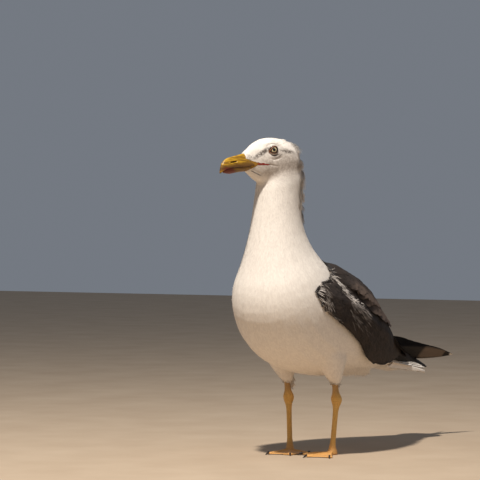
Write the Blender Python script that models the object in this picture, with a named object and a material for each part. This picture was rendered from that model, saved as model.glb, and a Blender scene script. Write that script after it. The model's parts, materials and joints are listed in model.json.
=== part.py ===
"""A yellow-legged gull standing alert with folded wings, life size and still.

Each part that a person would name is one closed solid, kept a hair's breadth
from its neighbours. The gull looks along -Y, its left side is +X and up is +Z.
Lengths in the tables are millimetres; MM turns them into Blender's metres.
"""

import math

import bmesh
import bpy
from mathutils import Matrix, Vector

MM = 0.001
GAP = 0.3                 # space left between two neighbouring solids
RING = 24                 # corners of one cross-section of the body or head
TRUNK_RINGS = 46
HEAD_RINGS = 26
BILL_ARC = 9              # corners over one half of the bill
BILL_RINGS = {"bill_upper": 15, "bill_lower": 12}
LEAF_ARC = 7              # corners across a folded wing
WING_RINGS = 13
SCAPULAR_RINGS = 10
HAND_RINGS = 9
TAIL_RINGS = 9
TAIL_ARC = 9              # corners across the tail's upper face
THIGH_RINGS = 12
LEG_RINGS = 15

# Driving dimensions
EYE_HEIGHT = 419.5        # ground to the middle of the eye
EYE_FORWARD = 105.0       # how far the eyes stand in front of the ankles
HEAD_TURN = -15.0         # degrees; the face looks a little to the gull's right
EYES_LEFT = -5.0          # that turn carries the eyes off the body's midline
ANKLE_HEIGHT = 75.0
ANKLE_SPREAD = 40.0       # each ankle's distance from the midline
EYE_RADIUS = 7.6
EYE_SPACING = 15.5        # each eyeball's centre from the middle of the head
EYE_PLACE = (1.0, 1.1)    # forward and up, in the head's own measures
FLESH_VOXEL = 3.2         # grain at which head, neck and trunk are blended
FLESH_FACES = 1700        # triangles left in the blended body

WHITE = (0.86, 0.84, 0.81, 1.0)
GREY = (0.115, 0.112, 0.115, 1.0)
BLACK = (0.018, 0.017, 0.017, 1.0)
YELLOW = (0.80, 0.50, 0.08, 1.0)
LEG_YELLOW = (0.72, 0.45, 0.12, 1.0)
HORN = (0.045, 0.035, 0.028, 1.0)
PALE_IRIS = (0.72, 0.66, 0.42, 1.0)

# Trunk and neck from the tail's root to the nape: the point on the back and the
# point on the belly or breast as (forward, height), then half the width.
TRUNK = (
    ((-198, 129), (-198, 113), 17),   # tail root
    ((-178, 145), (-178, 112), 29),   # rump
    ((-146, 172), (-142, 111), 43),   # vent
    ((-112, 199), (-100, 103), 56),   # behind the thighs
    ((-78, 221), (-44, 106), 66),     # hips
    ((-48, 238), (12, 110), 72),      # belly
    ((-24, 251), (65, 122), 74),      # between the wings
    ((-4, 261), (107, 148), 74),      # shoulders
    ((12, 270), (134, 186), 70),      # breast
    ((24, 279), (141, 222), 62),      # top of the breast
    ((36, 293), (134, 257), 50),      # root of the neck
    ((46, 313), (127, 291), 40),      # lower neck
    ((50, 338), (122, 322), 34),      # middle of the neck
    ((46, 364), (119, 350), 31),      # upper neck
    ((42, 392), (115, 374), 29),      # nape and throat
    ((48, 412), (104, 398), 24),      # inside the head
)

# Head from the back of the skull to the feathers round the bill: distance in
# front of the eyes, top, bottom and half the width, all from the eyes' middle.
HEAD = (
    (-55, -8, -24, 7),
    (-50, 5, -36, 17),
    (-39, 13.5, -43, 24),
    (-24, 18, -45, 26),
    (-9, 19.5, -45, 24.5),
    (5, 18, -44, 21),
    (17, 14, -42, 16.5),
    (27, 8.5, -36, 11.8),
    (35, 2, -30.5, 9.2),
    (41, -4.5, -28.4, 7.2),
)

# Where the body is parted: a point of each cut, and the way up out of it.
THROAT_CUT = ((0, 84, 383), (0, -0.30, 0.954))
COLLAR_CUT = ((0, 84, 286), (0, -0.42, 0.908))

# Bill: distance in front of the eyes, the edge of the mouth line on that half's
# open side, its outer edge, and half the width.
UPPER_BILL = (
    (14, -18.5, -4, 12.2),
    (24, -19.7, -2.6, 11.4),
    (35, -21.0, -3, 9.4),
    (46, -22.4, -5.4, 7.4),
    (57, -23.3, -8.0, 6.2),
    (67, -24.5, -10.5, 5.4),
    (74, -27.0, -14.4, 4.4),
    (78, -29.4, -19.8, 3.2),
    (80, -32.0, -27.0, 1.6),
)
LOWER_BILL = (
    (14, -19.1, -26.5, 11.2),
    (24, -20.3, -27.4, 10.4),
    (35, -21.6, -28.2, 8.4),
    (46, -23.0, -29.2, 6.4),
    (56, -23.9, -30.8, 5.5),
    (63, -24.7, -32.2, 5.0),
    (69, -26.0, -32.0, 4.2),
    (74.4, -28.2, -31.2, 2.6),
)

# Left wing from the wrist to the tips of the tertials, one row for each station:
# inner edge, shoulder, side and lower edge, each (left, forward, height).
WING = (
    ((52, 86, 244), (60, 91, 239), (67, 93, 229), (66, 89, 213)),
    ((43, 62, 260), (64, 66, 250), (80, 66, 222), (78, 60, 191)),
    ((33, 30, 262), (64, 30, 247), (85, 30, 212), (79, 28, 175)),
    ((24, -8, 254), (60, -8, 240), (85, -10, 197), (75, -12, 153)),
    ((12, -50, 241), (55, -50, 228), (79, -50, 181), (64, -49, 128)),
    ((3, -92, 223), (48, -92, 210), (69, -92, 168), (55, -92, 120)),
    ((0.4, -132, 199), (39, -131, 188), (54, -132, 155), (45, -134, 120)),
    ((0.4, -168, 173), (28, -169, 164), (38, -170, 143), (33, -172, 122)),
    ((0.4, -203, 151), (18, -204, 145), (24, -205, 134), (21, -206, 124)),
    ((0.4, -228, 139), (7, -229, 136), (11, -230, 131), (9, -229, 127)),
)
WING_THICKNESS = (8, 14, 16, 16, 16, 14, 12, 9, 6, 3)

# Left shoulder feathers, lying over the wing beside the spine.
SCAPULARS = (
    ((32, 52, 273), (43, 56, 269), (54, 57, 261), (61, 56, 250)),
    ((6, 20, 275), (40, 20, 269), (63, 20, 254), (76, 20, 234)),
    ((0.4, -22, 264), (36, -22, 258), (62, -24, 241), (78, -26, 214)),
    ((0.4, -62, 250), (32, -63, 245), (55, -65, 229), (69, -67, 202)),
    ((0.4, -100, 231), (26, -101, 226), (42, -102, 214), (53, -104, 194)),
    ((0.4, -128, 213), (14, -129, 211), (25, -130, 206), (32, -131, 198)),
    ((0.4, -146, 201), (6, -146, 200), (10, -146, 199), (14, -147, 196)),
)
SCAPULAR_THICKNESS = (4, 8, 9, 9, 8, 6, 3)
RIGHT_WING_DROP = 26.0    # the right wing's lower edge hangs this much further forward
DROP_SHARES = (0.0, 0.3, 0.8, 1.0)
DROP_STATIONS = 6

# The folded hand of each wing: root and tip of the bundle (left, forward,
# height), then the bundle's width and thickness at the root.
HAND_LEFT = ((24, -150, 138), (-3, -331, 105), 27, 6)
HAND_RIGHT = ((-14, -165, 142), (33, -343, 126), 40, 6)

# Tail: forward position, half the width, top and underside.
TAIL = (
    (-178, 17, 131, 117),
    (-205, 22, 125, 113.5),
    (-238, 28, 117, 109.5),
    (-262, 32, 111.5, 106.8),
    (-272, 31, 109.6, 105.8),
)
HAND_BOW = 4.0            # rise of a hand's blade at its middle
HAND_LEAN = {"l": 26.0, "r": -44.0}    # degrees each blade is turned about its length
TAIL_ARCH = 5.0           # how much the tail's sides droop below its middle
TAIL_END = 4.0            # how far the middle feathers reach past the outer ones

# Feathered thigh, from inside the flank to the bare shin: left, forward, height,
# half the width and half the depth.
THIGH = (
    (39, 24, 168, 22, 34),
    (41, 16, 142, 23, 32),
    (41, 9, 122, 17, 23),
    (40.5, 3, 109, 11, 14.5),
    (40, -1, 101, 7.2, 8.5),
    (40, -1.5, 97, 5.4, 6),
)
SHIN_TOP = (0.5, 103)     # forward and height of the bare shin's upper end
LEG_FOOT = 9.0            # height at which the leg meets the foot
ANKLE_FORWARD = -4.5

# A foot: each front toe's length and its angle from the middle toe.
TOES = {"inner": (42, 38.0), "middle": (54, 0.0), "outer": (50, -36.0)}
TOE_SPREAD = 4.6          # half a toe's width, in degrees seen from the heel
TOE_HEIGHT = 6.0
WEB_THICKNESS = 1.3
WEB_LIFT = 0.8            # the web's underside stands this far off the ground
CLAW_LENGTH = 8.0
HIND_TOE_LENGTH = 12.0
HIND_TOE_RISE = 4.0       # it grows from the heel this much above the ground
HEEL_LEFT = {"l": 39.0, "r": -32.0}   # each heel, to the left of the midline
HEEL_FORWARD = 4.5
FOOT_TURN = {"l": -8.0, "r": 34.0}    # degrees; gulls stand with toes turned in
TOE_ROOT = 3.0            # the toes and the web begin this far in front of the heel
WEB_NOTCH = 7.0           # how far the web's edge curves in between two toes
HEEL = ((0, 5.5, 7), (1.5, 6.6, 8), (5, 6.2, 7.4), (8.4, 5.2, 5.9))   # height, half width, depth
HIND_TOE_ANGLE = 156.0    # degrees from the middle toe


def place(left, forward, height):
    """A point of the gull, from millimetres to Blender's metres."""
    return Vector((left, -forward, height)) * MM


def smooth_between(rows, count):
    """Rows of numbers resampled to count rows along a smooth curve through them."""
    made = []
    last = len(rows) - 1
    for step in range(count):
        at = step * last / (count - 1)
        i = min(int(at), last - 1)
        t = at - i
        before, start = rows[max(i - 1, 0)], rows[i]
        end, after = rows[i + 1], rows[min(i + 2, last)]
        row = []
        for a, b, c, d in zip(before, start, end, after):
            slope_in, slope_out = (c - a) / 2, (d - b) / 2
            row.append(
                (2 * t**3 - 3 * t**2 + 1) * b
                + (t**3 - 2 * t**2 + t) * slope_in
                + (3 * t**2 - 2 * t**3) * c
                + (t**3 - t**2) * slope_out
            )
        made.append(row)
    return made


def flatten(row):
    """A row of nested points as one flat list of numbers."""
    flat = []
    for item in row:
        flat.extend(item if isinstance(item, tuple) else (item,))
    return flat


def material(name, colour, roughness):
    made = bpy.data.materials.get(name)
    if made is None:
        made = bpy.data.materials.new(name)
        made.use_nodes = True
        shader = made.node_tree.nodes["Principled BSDF"]
        shader.inputs["Base Color"].default_value = colour
        shader.inputs["Roughness"].default_value = roughness
        shader.inputs["Metallic"].default_value = 0.0
    return made


def add_object(name, mesh, finish):
    made = bpy.data.objects.new(name, mesh)
    bpy.context.scene.collection.objects.link(made)
    mesh.materials.clear()
    mesh.materials.append(finish)
    mesh.shade_smooth()
    mesh.set_sharp_from_angle(angle=math.radians(40))
    return made


def mesh_from(bm, name):
    bmesh.ops.recalc_face_normals(bm, faces=bm.faces)
    mesh = bpy.data.meshes.new(name)
    bm.to_mesh(mesh)
    bm.free()
    return mesh


def loft(name, rings, finish):
    """One closed solid through rings of points, with a fan over each end."""
    bm = bmesh.new()
    loops = [[bm.verts.new(point) for point in ring] for ring in rings]
    count = len(rings[0])
    for here, there in zip(loops, loops[1:]):
        for i in range(count):
            j = (i + 1) % count
            bm.faces.new((here[i], here[j], there[j], there[i]))
    for loop in (loops[0], loops[-1]):
        middle = sum((v.co for v in loop), Vector()) / count
        hub = bm.verts.new(middle)
        for i in range(count):
            bm.faces.new((loop[i], loop[(i + 1) % count], hub))
    return add_object(name, mesh_from(bm, name), finish)


def oval(centre, up, side, power=2.0, count=RING):
    """A ring round centre; power 2 is an ellipse and more is squarer."""
    ring = []
    for step in range(count):
        turn = 2 * math.pi * step / count
        c, s = math.cos(turn), math.sin(turn)
        rise = math.copysign(abs(c) ** (2 / power), c)
        reach = math.copysign(abs(s) ** (2 / power), s)
        ring.append(centre + up * rise + side * reach)
    return ring


def evaluated_mesh(obj):
    graph = bpy.context.evaluated_depsgraph_get()
    graph.update()
    return bpy.data.meshes.new_from_object(obj.evaluated_get(graph))


def apply_modifiers(obj):
    """Leaves the object with the mesh that its modifiers make."""
    mesh = evaluated_mesh(obj)
    finish = obj.data.materials[0]
    obj.modifiers.clear()
    obj.data = mesh
    mesh.materials.clear()
    mesh.materials.append(finish)


def room_for(obj):
    """A cutter shaped like obj and larger by the gap on every side."""
    bm = bmesh.new()
    bm.from_mesh(obj.data)
    bm.transform(obj.matrix_world)
    bm.normal_update()
    shifts = [v.normal * GAP * MM for v in bm.verts]
    for vert, shift in zip(bm.verts, shifts):
        vert.co += shift
    room = add_object("room_for_" + obj.name, mesh_from(bm, "room"), obj.data.materials[0])
    room.hide_render = True
    room.display_type = "WIRE"
    return room


def is_sound(mesh):
    """True when the mesh is one or more closed shells that face outwards."""
    bm = bmesh.new()
    bm.from_mesh(mesh)
    closed = len(bm.faces) > 0 and all(len(edge.link_faces) == 2 for edge in bm.edges)
    outward = bm.calc_volume(signed=True) > 0
    bm.free()
    return closed and outward


def keep_largest(obj):
    """Deletes all but the body with the most corners, such as hidden offcuts."""
    bm = bmesh.new()
    bm.from_mesh(obj.data)
    left = set(bm.verts)
    bodies = []
    while left:
        body, edge_of_search = set(), [left.pop()]
        while edge_of_search:
            vert = edge_of_search.pop()
            body.add(vert)
            near = [e.other_vert(vert) for e in vert.link_edges]
            edge_of_search += [v for v in near if v in left]
            left.difference_update(near)
        bodies.append(body)
    largest = max(bodies, key=len)
    bmesh.ops.delete(bm, geom=[v for v in bm.verts if v not in largest], context="VERTS")
    bm.to_mesh(obj.data)
    bm.free()


def combine(obj, other, operation):
    """Boolean of obj with other, applied at once."""
    before = obj.data
    for solver in ("EXACT", "MANIFOLD"):
        change = obj.modifiers.new(operation.lower(), "BOOLEAN")
        change.operation = operation
        change.solver = solver
        change.use_self = True
        change.object = other
        apply_modifiers(obj)
        if is_sound(obj.data):
            return
        obj.data = before


def carve(obj, *rooms):
    """Takes each cutter's shape out of obj."""
    for room in rooms:
        combine(obj, room, "DIFFERENCE")


def keep_side(obj, name, planes):
    """A copy of obj cut by planes; each keeps what its normal points to."""
    bm = bmesh.new()
    bm.from_mesh(obj.data)
    for point, normal in planes:
        cut = bmesh.ops.bisect_plane(
            bm,
            geom=bm.verts[:] + bm.edges[:] + bm.faces[:],
            plane_co=point,
            plane_no=normal,
            clear_inner=True,
        )
        rim = [e for e in cut["geom_cut"] if isinstance(e, bmesh.types.BMEdge)]
        bmesh.ops.contextual_create(bm, geom=rim)
    bmesh.ops.triangulate(bm, faces=bm.faces)
    return add_object(name, mesh_from(bm, name), obj.data.materials[0])


def head_point(left, forward, up):
    """A point of the head, measured from the middle between the eyes."""
    turned = Matrix.Rotation(math.radians(HEAD_TURN), 3, "Z") @ Vector((left, -forward, up))
    return (turned + Vector((EYES_LEFT, -EYE_FORWARD, EYE_HEIGHT))) * MM

def head_rings(rows, count, power):
    """Cross-sections of the head along the line that the face looks."""
    rings = []
    for forward, top, bottom, width in smooth_between(rows, count):
        centre = head_point(0, forward, (top + bottom) / 2)
        up = Vector((0, 0, (top - bottom) / 2 * MM))
        side = head_point(width, forward, 0) - head_point(0, forward, 0)
        rings.append(oval(centre, up, side, power))
    return rings


def trunk_and_neck():
    """One body from the tail's root, up the neck and into the head."""
    rings = []
    rows = [flatten(row) for row in TRUNK]
    for back_f, back_h, front_f, front_h, width in smooth_between(rows, TRUNK_RINGS):
        back, front = place(0, back_f, back_h), place(0, front_f, front_h)
        side = Vector((width * MM, 0, 0))
        rings.append(oval((back + front) / 2, (back - front) / 2, side, 2.15))
    return loft("trunk", rings, material("white_plumage", WHITE, 0.8))


def blended_flesh():
    """Head, neck and trunk as one skin with soft joins, thinned to few faces."""
    flesh = trunk_and_neck()
    white = flesh.data.materials[0]
    skull = loft("skull", head_rings(HEAD, HEAD_RINGS, 2.1), white)
    combine(flesh, skull, "UNION")
    bpy.data.objects.remove(skull)
    blend = flesh.modifiers.new("blend", "REMESH")
    blend.mode = "VOXEL"
    blend.voxel_size = FLESH_VOXEL * MM
    blend.use_smooth_shade = True
    ease = flesh.modifiers.new("ease", "SMOOTH")
    ease.factor = 0.5
    ease.iterations = 7
    apply_modifiers(flesh)
    flesh.data.calc_loop_triangles()
    thin = flesh.modifiers.new("thin", "DECIMATE")
    thin.ratio = FLESH_FACES / len(flesh.data.loop_triangles)
    apply_modifiers(flesh)
    return flesh


def divide(flesh):
    """Head, neck and trunk, parted by two thin cuts."""
    half = GAP * MM / 2
    throat, up_throat = place(*THROAT_CUT[0]), Vector(THROAT_CUT[1])
    collar, up_collar = place(*COLLAR_CUT[0]), Vector(COLLAR_CUT[1])
    above = keep_side(flesh, "head", [(throat + up_throat * half, up_throat)])
    between = keep_side(
        flesh,
        "neck",
        [(throat - up_throat * half, -up_throat), (collar + up_collar * half, up_collar)],
    )
    below = keep_side(flesh, "trunk", [(collar - up_collar * half, -up_collar)])
    bpy.data.objects.remove(flesh)
    below.name = "trunk"
    return above, between, below


def bill():
    """Both halves of the bill, each flat where they close on one another."""
    horn = material("bill_horn", YELLOW, 0.35)
    rings = {"bill_upper": [], "bill_lower": []}
    for name, rows in (("bill_upper", UPPER_BILL), ("bill_lower", LOWER_BILL)):
        for forward, mouth, outer, width in smooth_between(rows, BILL_RINGS[name]):
            ring = []
            for step in range(BILL_ARC):
                turn = math.pi * step / (BILL_ARC - 1)
                out = width * math.cos(turn) * (1 - 0.12 * math.sin(turn))
                rise = (outer - mouth) * math.sin(turn) ** 0.9
                ring.append(head_point(out, forward, mouth + rise))
            rings[name].append(ring)
    return [loft(name, found, horn) for name, found in rings.items()]


def eyes():
    """Both eyeballs, their poles facing sideways."""
    made = []
    for side, sign in (("l", 1), ("r", -1)):
        bm = bmesh.new()
        turned = Matrix.Rotation(math.radians(90), 4, "Y")
        bmesh.ops.create_uvsphere(
            bm, u_segments=14, v_segments=9, radius=EYE_RADIUS * MM, matrix=turned
        )
        eye = add_object("eye_" + side, mesh_from(bm, "eye"), material("pale_iris", PALE_IRIS, 0.1))
        eye.location = head_point(sign * EYE_SPACING, *EYE_PLACE)
        made.append(eye)
    bpy.context.view_layer.update()
    return made


def across(points, count):
    """Points evenly along a smooth curve through a few others."""
    return [Vector(row) for row in smooth_between([tuple(p) for p in points], count)]


def leaf(name, rows, thicknesses, sign, finish, count, drop=0.0):
    """A folded sheet of feathers: a thick crescent through four edge lines."""
    table = []
    for station, (row, thick) in enumerate(zip(rows, thicknesses)):
        swing = drop * math.sin(math.pi * min(station / DROP_STATIONS, 1.0))
        moved = [(x, y + swing * share, z) for (x, y, z), share in zip(row, DROP_SHARES)]
        table.append(flatten(moved) + [thick])
    rings = []
    for row in smooth_between(table, count):
        lines = [place(sign * row[i], row[i + 1], row[i + 2]) for i in (0, 3, 6, 9)]
        outer = across(lines, LEAF_ARC)
        inner = []
        for step, point in enumerate(outer):
            turn = math.pi * step / (LEAF_ARC - 1)
            inward = Vector((-sign * math.sin(turn / 2), 0, -math.cos(turn / 2)))
            inner.append(point + inward * row[12] * (0.12 + 0.88 * math.sin(turn)) * MM)
        rings.append(outer + inner[::-1])
    return loft(name, rings, finish)


def wings():
    """Both folded wings, with the shoulder feathers that lie over them."""
    grey = material("grey_plumage", GREY, 0.7)
    made = {}
    for side, sign, drop in (("l", 1, 0.0), ("r", -1, RIGHT_WING_DROP)):
        made["wing_" + side] = leaf(
            "wing_" + side, WING, WING_THICKNESS, sign, grey, WING_RINGS, drop
        )
        made["scapulars_" + side] = leaf(
            "scapulars_" + side, SCAPULARS, SCAPULAR_THICKNESS, sign, grey, SCAPULAR_RINGS
        )
    return made


def hand(name, root, tip, width, thick, lean):
    """The black flight feathers of the hand: a blade leaning on its outer edge."""
    start, end = place(*root), place(*tip)
    along = (end - start).normalized()
    level = along.cross(Vector((0, 0, 1))).normalized()
    side = Matrix.Rotation(math.radians(lean), 3, along) @ level
    up = side.cross(along)
    rings = []
    for step in range(HAND_RINGS):
        t = step / (HAND_RINGS - 1)
        wide = width / 2 * (1 - 0.75 * t**1.8)
        deep = thick / 2 * (1 - t) + 1.0
        sag = HAND_BOW * math.sin(math.pi * t) * MM
        centre = start.lerp(end, t) + up * sag
        rings.append(oval(centre, up * deep * MM, side * wide * MM, 1.8, 10))
    return loft(name, rings, material("black_plumage", BLACK, 0.6))


def tail():
    """The folded tail: a flat fan, arched across and rounded at its end."""
    rings = []
    shares = [2 * step / (TAIL_ARC - 1) - 1 for step in range(TAIL_ARC)]
    for forward, width, top, bottom in smooth_between(TAIL, TAIL_RINGS):
        upper = [
            place(width * t, forward - TAIL_END * (1 - t * t), top - TAIL_ARCH * t * t)
            for t in shares
        ]
        under = [
            place(width * t, forward - TAIL_END * (1 - t * t), bottom - TAIL_ARCH * 0.8 * t * t)
            for t in reversed(shares)
        ]
        rings.append(upper + under)
    return loft("tail", rings, material("white_plumage", WHITE, 0.8))


def thigh(side, sign):
    """The feathered part of the leg, from the flank down to the bare shin."""
    rings = []
    for left, forward, height, wide, long in smooth_between(THIGH, THIGH_RINGS):
        centre = place(sign * left, forward, height)
        rings.append(oval(centre, Vector((0, -long * MM, 0)), Vector((wide * MM, 0, 0)), 2.0, 14))
    return loft("thigh_" + side, rings, material("white_plumage", WHITE, 0.8))


def leg(side, sign, foot_centre):
    """Bare shin, ankle knob and the long scaly bone down to the foot."""
    ankle = Vector((sign * ANKLE_SPREAD, ANKLE_FORWARD, ANKLE_HEIGHT))
    foot = Vector((foot_centre.x, foot_centre.y, LEG_FOOT))
    shin_top = Vector((sign * ANKLE_SPREAD, *SHIN_TOP))
    rows = [  # centre along the leg, half width, half depth
        (*shin_top, 3.6, 4.2),
        (*shin_top.lerp(ankle, 0.5), 3.8, 4.4),
        (*(ankle + Vector((0, 1.0, 6))), 4.9, 5.4),
        (*ankle, 6.1, 6.5),
        (*(ankle + Vector((0, 0.4, -6))), 5.2, 5.6),
        (*ankle.lerp(foot, 0.2), 3.3, 4.2),
        (*ankle.lerp(foot, 0.5), 3.0, 3.9),
        (*ankle.lerp(foot, 0.8), 3.3, 4.1),
        (*(foot + Vector((0, 0, 3))), 4.6, 5.2),
        (*foot, 5.0, 5.6),
    ]
    rings = []
    for x, y, z, wide, deep in smooth_between(rows, LEG_RINGS):
        centre = place(x, y, z)
        rings.append(oval(centre, Vector((0, -deep * MM, 0)), Vector((wide * MM, 0, 0)), 2.0, 10))
    return loft("leg_" + side, rings, material("leg_skin", LEG_YELLOW, 0.55))


def toe_reach(angle):
    """Distance from the heel to the web's front edge at an angle, in degrees."""
    inner, middle, outer = (TOES[name] for name in ("inner", "middle", "outer"))
    other = inner if angle > 0 else outer
    share = min(angle / other[1], 1.0)
    straight = middle[0] + (other[0] - middle[0]) * share
    return straight - WEB_NOTCH * math.sin(math.pi * share)


def foot(side, sign, centre):
    """Three webbed toes and a small hind toe, flat on the ground, and the claws."""
    turn = math.radians(FOOT_TURN[side])
    toes = sorted(angle for length, angle in TOES.values())
    between = [(a + b) / 2 for a, b in zip(toes, toes[1:])]
    angles = sorted(between + [toe + off for toe in toes for off in (-TOE_SPREAD, 0, TOE_SPREAD)])
    shares = (0.0, 0.2, 0.45, 0.7, 0.93, 1.0)
    bm = bmesh.new()

    def at(angle, distance, height):
        """A point of the foot, at an angle from the middle toe."""
        a = math.radians(angle) * -sign
        flat = Vector((math.sin(a) * distance, -math.cos(a) * distance, height))
        return (Matrix.Rotation(turn, 3, "Z") @ flat + Vector((centre.x, -centre.y, 0))) * MM

    tops, unders = [], []
    for share in shares:
        top_row, under_row = [], []
        for angle in angles:
            ridge = 1.0 if angle in toes else 0.0
            root = max(0.0, 1 - share / 0.35)
            reach = toe_reach(max(min(angle, toes[-1]), toes[0]))
            distance = TOE_ROOT + (reach - TOE_ROOT) * share
            web_top = WEB_LIFT + WEB_THICKNESS + 3.2 * root
            top = web_top + ridge * (TOE_HEIGHT * (1 - 0.4 * share) - web_top)
            under = 0.0 if ridge or root > 0.4 else WEB_LIFT
            if share == 1.0:
                top = under + 0.6 * (top - under)
            top_row.append(bm.verts.new(at(angle, distance, top)))
            under_row.append(bm.verts.new(at(angle, distance, under)))
        tops.append(top_row)
        unders.append(under_row)
    rows, columns = len(shares) - 1, len(angles) - 1
    for row in range(rows):
        for near, far in ((tops[row], tops[row + 1]), (unders[row + 1], unders[row])):
            for i in range(columns):
                bm.faces.new((near[i], near[i + 1], far[i + 1], far[i]))
        for i in (0, -1):
            bm.faces.new((tops[row][i], tops[row + 1][i], unders[row + 1][i], unders[row][i]))
    for i in range(columns):
        for row in (0, -1):
            bm.faces.new((tops[row][i], unders[row][i], unders[row][i + 1], tops[row][i + 1]))
    bmesh.ops.triangulate(bm, faces=bm.faces)
    skin = material("leg_skin", LEG_YELLOW, 0.55)
    web = add_object("foot_" + side, mesh_from(bm, "foot"), skin)
    across_heel = at(90, 1, 0) - at(0, 0, 0)
    along_heel = at(0, 1, 0) - at(0, 0, 0)
    heel = [
        oval(at(0, 0, z), along_heel * deep, across_heel * wide, 2.2, 12)
        for z, wide, deep in HEEL
    ]
    hind = []
    for t in (0.0, 0.5, 0.85, 1.0):
        thick = 2.5 - 1.3 * t
        height = thick + HIND_TOE_RISE * (1 - t)
        joint = at(HIND_TOE_ANGLE, TOE_ROOT + HIND_TOE_LENGTH * t, height)
        hind.append(oval(joint, Vector((0, 0, thick * MM)), across_heel * thick, 2.0, 8))
    for name, rings in (("heel", heel), ("hind_toe", hind)):
        piece = loft(name, rings, skin)
        combine(web, piece, "UNION")
        bpy.data.objects.remove(piece)
    claws = [
        claw(f"claw_{name}_{side}", at, angle, length + GAP) for name, (length, angle) in TOES.items()
    ]
    return web, claws


def claw(name, at, angle, start):
    """A short hooked nail, curving down to the ground."""
    rings = []
    for t in (0.0, 0.3, 0.65, 1.0):
        thick = 1.9 * (1 - t) ** 0.7 + 0.3
        height = thick + 0.15 + 1.2 * (1 - t) ** 2
        centre = at(angle, start + CLAW_LENGTH * t, height)
        side = (at(angle + 90, 1, 0) - at(angle, 0, 0)).normalized() * thick * 0.75 * MM
        rings.append(oval(centre, Vector((0, 0, thick * MM)), side, 2.0, 8))
    return loft(name, rings, material("claw_horn", HORN, 0.4))


def centre_over_base(objects):
    """Moves the gull so that its box stands centred on the origin."""
    bpy.context.view_layer.update()
    corners = [o.matrix_world @ v.co for o in objects for v in o.data.vertices]
    low = Vector(min(c[i] for c in corners) for i in range(3))
    high = Vector(max(c[i] for c in corners) for i in range(3))
    shift = Vector(((low.x + high.x) / 2, (low.y + high.y) / 2, low.z))
    for obj in objects:
        obj.location -= shift


def main():
    for old in list(bpy.data.objects):
        bpy.data.objects.remove(old)
    flesh = blended_flesh()
    body_room = room_for(flesh)
    head, neck, trunk = divide(flesh)
    upper, lower = bill()
    eye_l, eye_r = eyes()
    carve(head, *(room_for(piece) for piece in (upper, lower, eye_l, eye_r)))

    folded = wings()
    back_end = tail()
    hand_l = hand("primaries_l", *HAND_LEFT, HAND_LEAN["l"])
    hand_r = hand("primaries_r", *HAND_RIGHT, HAND_LEAN["r"])
    wing_rooms = {side: room_for(folded["wing_" + side]) for side in "lr"}
    tail_room, left_room = room_for(back_end), room_for(hand_l)
    for side in "lr":
        carve(folded["wing_" + side], room_for(folded["scapulars_" + side]), body_room)
        carve(folded["scapulars_" + side], body_room)
    carve(back_end, body_room)
    carve(hand_l, wing_rooms["l"], wing_rooms["r"], body_room, tail_room)
    carve(hand_r, wing_rooms["l"], wing_rooms["r"], body_room, tail_room, left_room)
    for hand_feathers in (hand_l, hand_r):
        keep_largest(hand_feathers)

    solids = [head, neck, trunk, upper, lower, eye_l, eye_r, back_end, hand_l, hand_r]
    solids += folded.values()
    for side, sign in (("l", 1), ("r", -1)):
        heel = Vector((HEEL_LEFT[side], HEEL_FORWARD, 0))
        web, claws = foot(side, sign, heel)
        bare_leg = leg(side, sign, heel)
        feathered = thigh(side, sign)
        carve(feathered, body_room, room_for(bare_leg), wing_rooms[side])
        solids += [web, bare_leg, feathered, *claws]
    for obj in list(bpy.data.objects):
        if obj.hide_render:
            bpy.data.objects.remove(obj)
    centre_over_base(solids)


main()
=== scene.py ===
# %% [markdown]
# # A yellow-legged gull, standing alert
# This lesson dresses a life-size gull whose plain solids already have their true
# size and place. Each step says what the real bird has there, how it could be
# made in Blender, and why one way was chosen. Lengths are in millimetres and
# become Blender's metres through MM.

import json
import math
from contextlib import contextmanager

import bmesh
import bpy
import numpy as np
from mathutils import Matrix, Vector, noise
from mathutils.bvhtree import BVHTree

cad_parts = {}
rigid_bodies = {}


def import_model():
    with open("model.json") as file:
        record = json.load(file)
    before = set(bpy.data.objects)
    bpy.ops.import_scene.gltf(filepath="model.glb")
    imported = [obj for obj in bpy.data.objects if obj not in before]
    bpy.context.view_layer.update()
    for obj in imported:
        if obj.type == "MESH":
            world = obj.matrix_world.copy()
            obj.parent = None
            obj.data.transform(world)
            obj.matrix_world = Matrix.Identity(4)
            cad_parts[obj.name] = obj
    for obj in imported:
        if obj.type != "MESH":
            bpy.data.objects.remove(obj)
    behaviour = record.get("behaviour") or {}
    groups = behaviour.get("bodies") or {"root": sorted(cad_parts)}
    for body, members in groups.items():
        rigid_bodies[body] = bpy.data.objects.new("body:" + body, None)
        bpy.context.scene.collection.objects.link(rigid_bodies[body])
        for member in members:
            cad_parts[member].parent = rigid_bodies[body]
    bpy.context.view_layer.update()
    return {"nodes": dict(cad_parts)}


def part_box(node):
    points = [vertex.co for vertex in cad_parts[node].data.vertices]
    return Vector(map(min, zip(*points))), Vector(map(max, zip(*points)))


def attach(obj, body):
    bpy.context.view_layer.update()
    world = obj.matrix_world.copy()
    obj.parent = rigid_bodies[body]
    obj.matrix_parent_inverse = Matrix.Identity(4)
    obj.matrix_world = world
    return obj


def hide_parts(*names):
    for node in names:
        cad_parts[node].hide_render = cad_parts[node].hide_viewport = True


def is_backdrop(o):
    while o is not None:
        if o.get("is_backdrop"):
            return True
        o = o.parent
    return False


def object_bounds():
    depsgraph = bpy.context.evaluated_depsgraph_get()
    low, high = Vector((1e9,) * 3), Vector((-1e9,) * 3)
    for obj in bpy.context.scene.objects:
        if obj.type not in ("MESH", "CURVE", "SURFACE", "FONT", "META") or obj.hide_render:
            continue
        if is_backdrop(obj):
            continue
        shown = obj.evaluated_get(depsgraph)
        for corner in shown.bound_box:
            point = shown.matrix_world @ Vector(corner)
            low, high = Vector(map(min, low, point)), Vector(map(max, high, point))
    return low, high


MM = 0.001
UP = Vector((0, 0, 1))
SIDES = (("l", 1), ("r", -1))    # each side and the way it lies along X
for old in list(bpy.data.objects):
    bpy.data.objects.remove(old)
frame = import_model()

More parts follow.
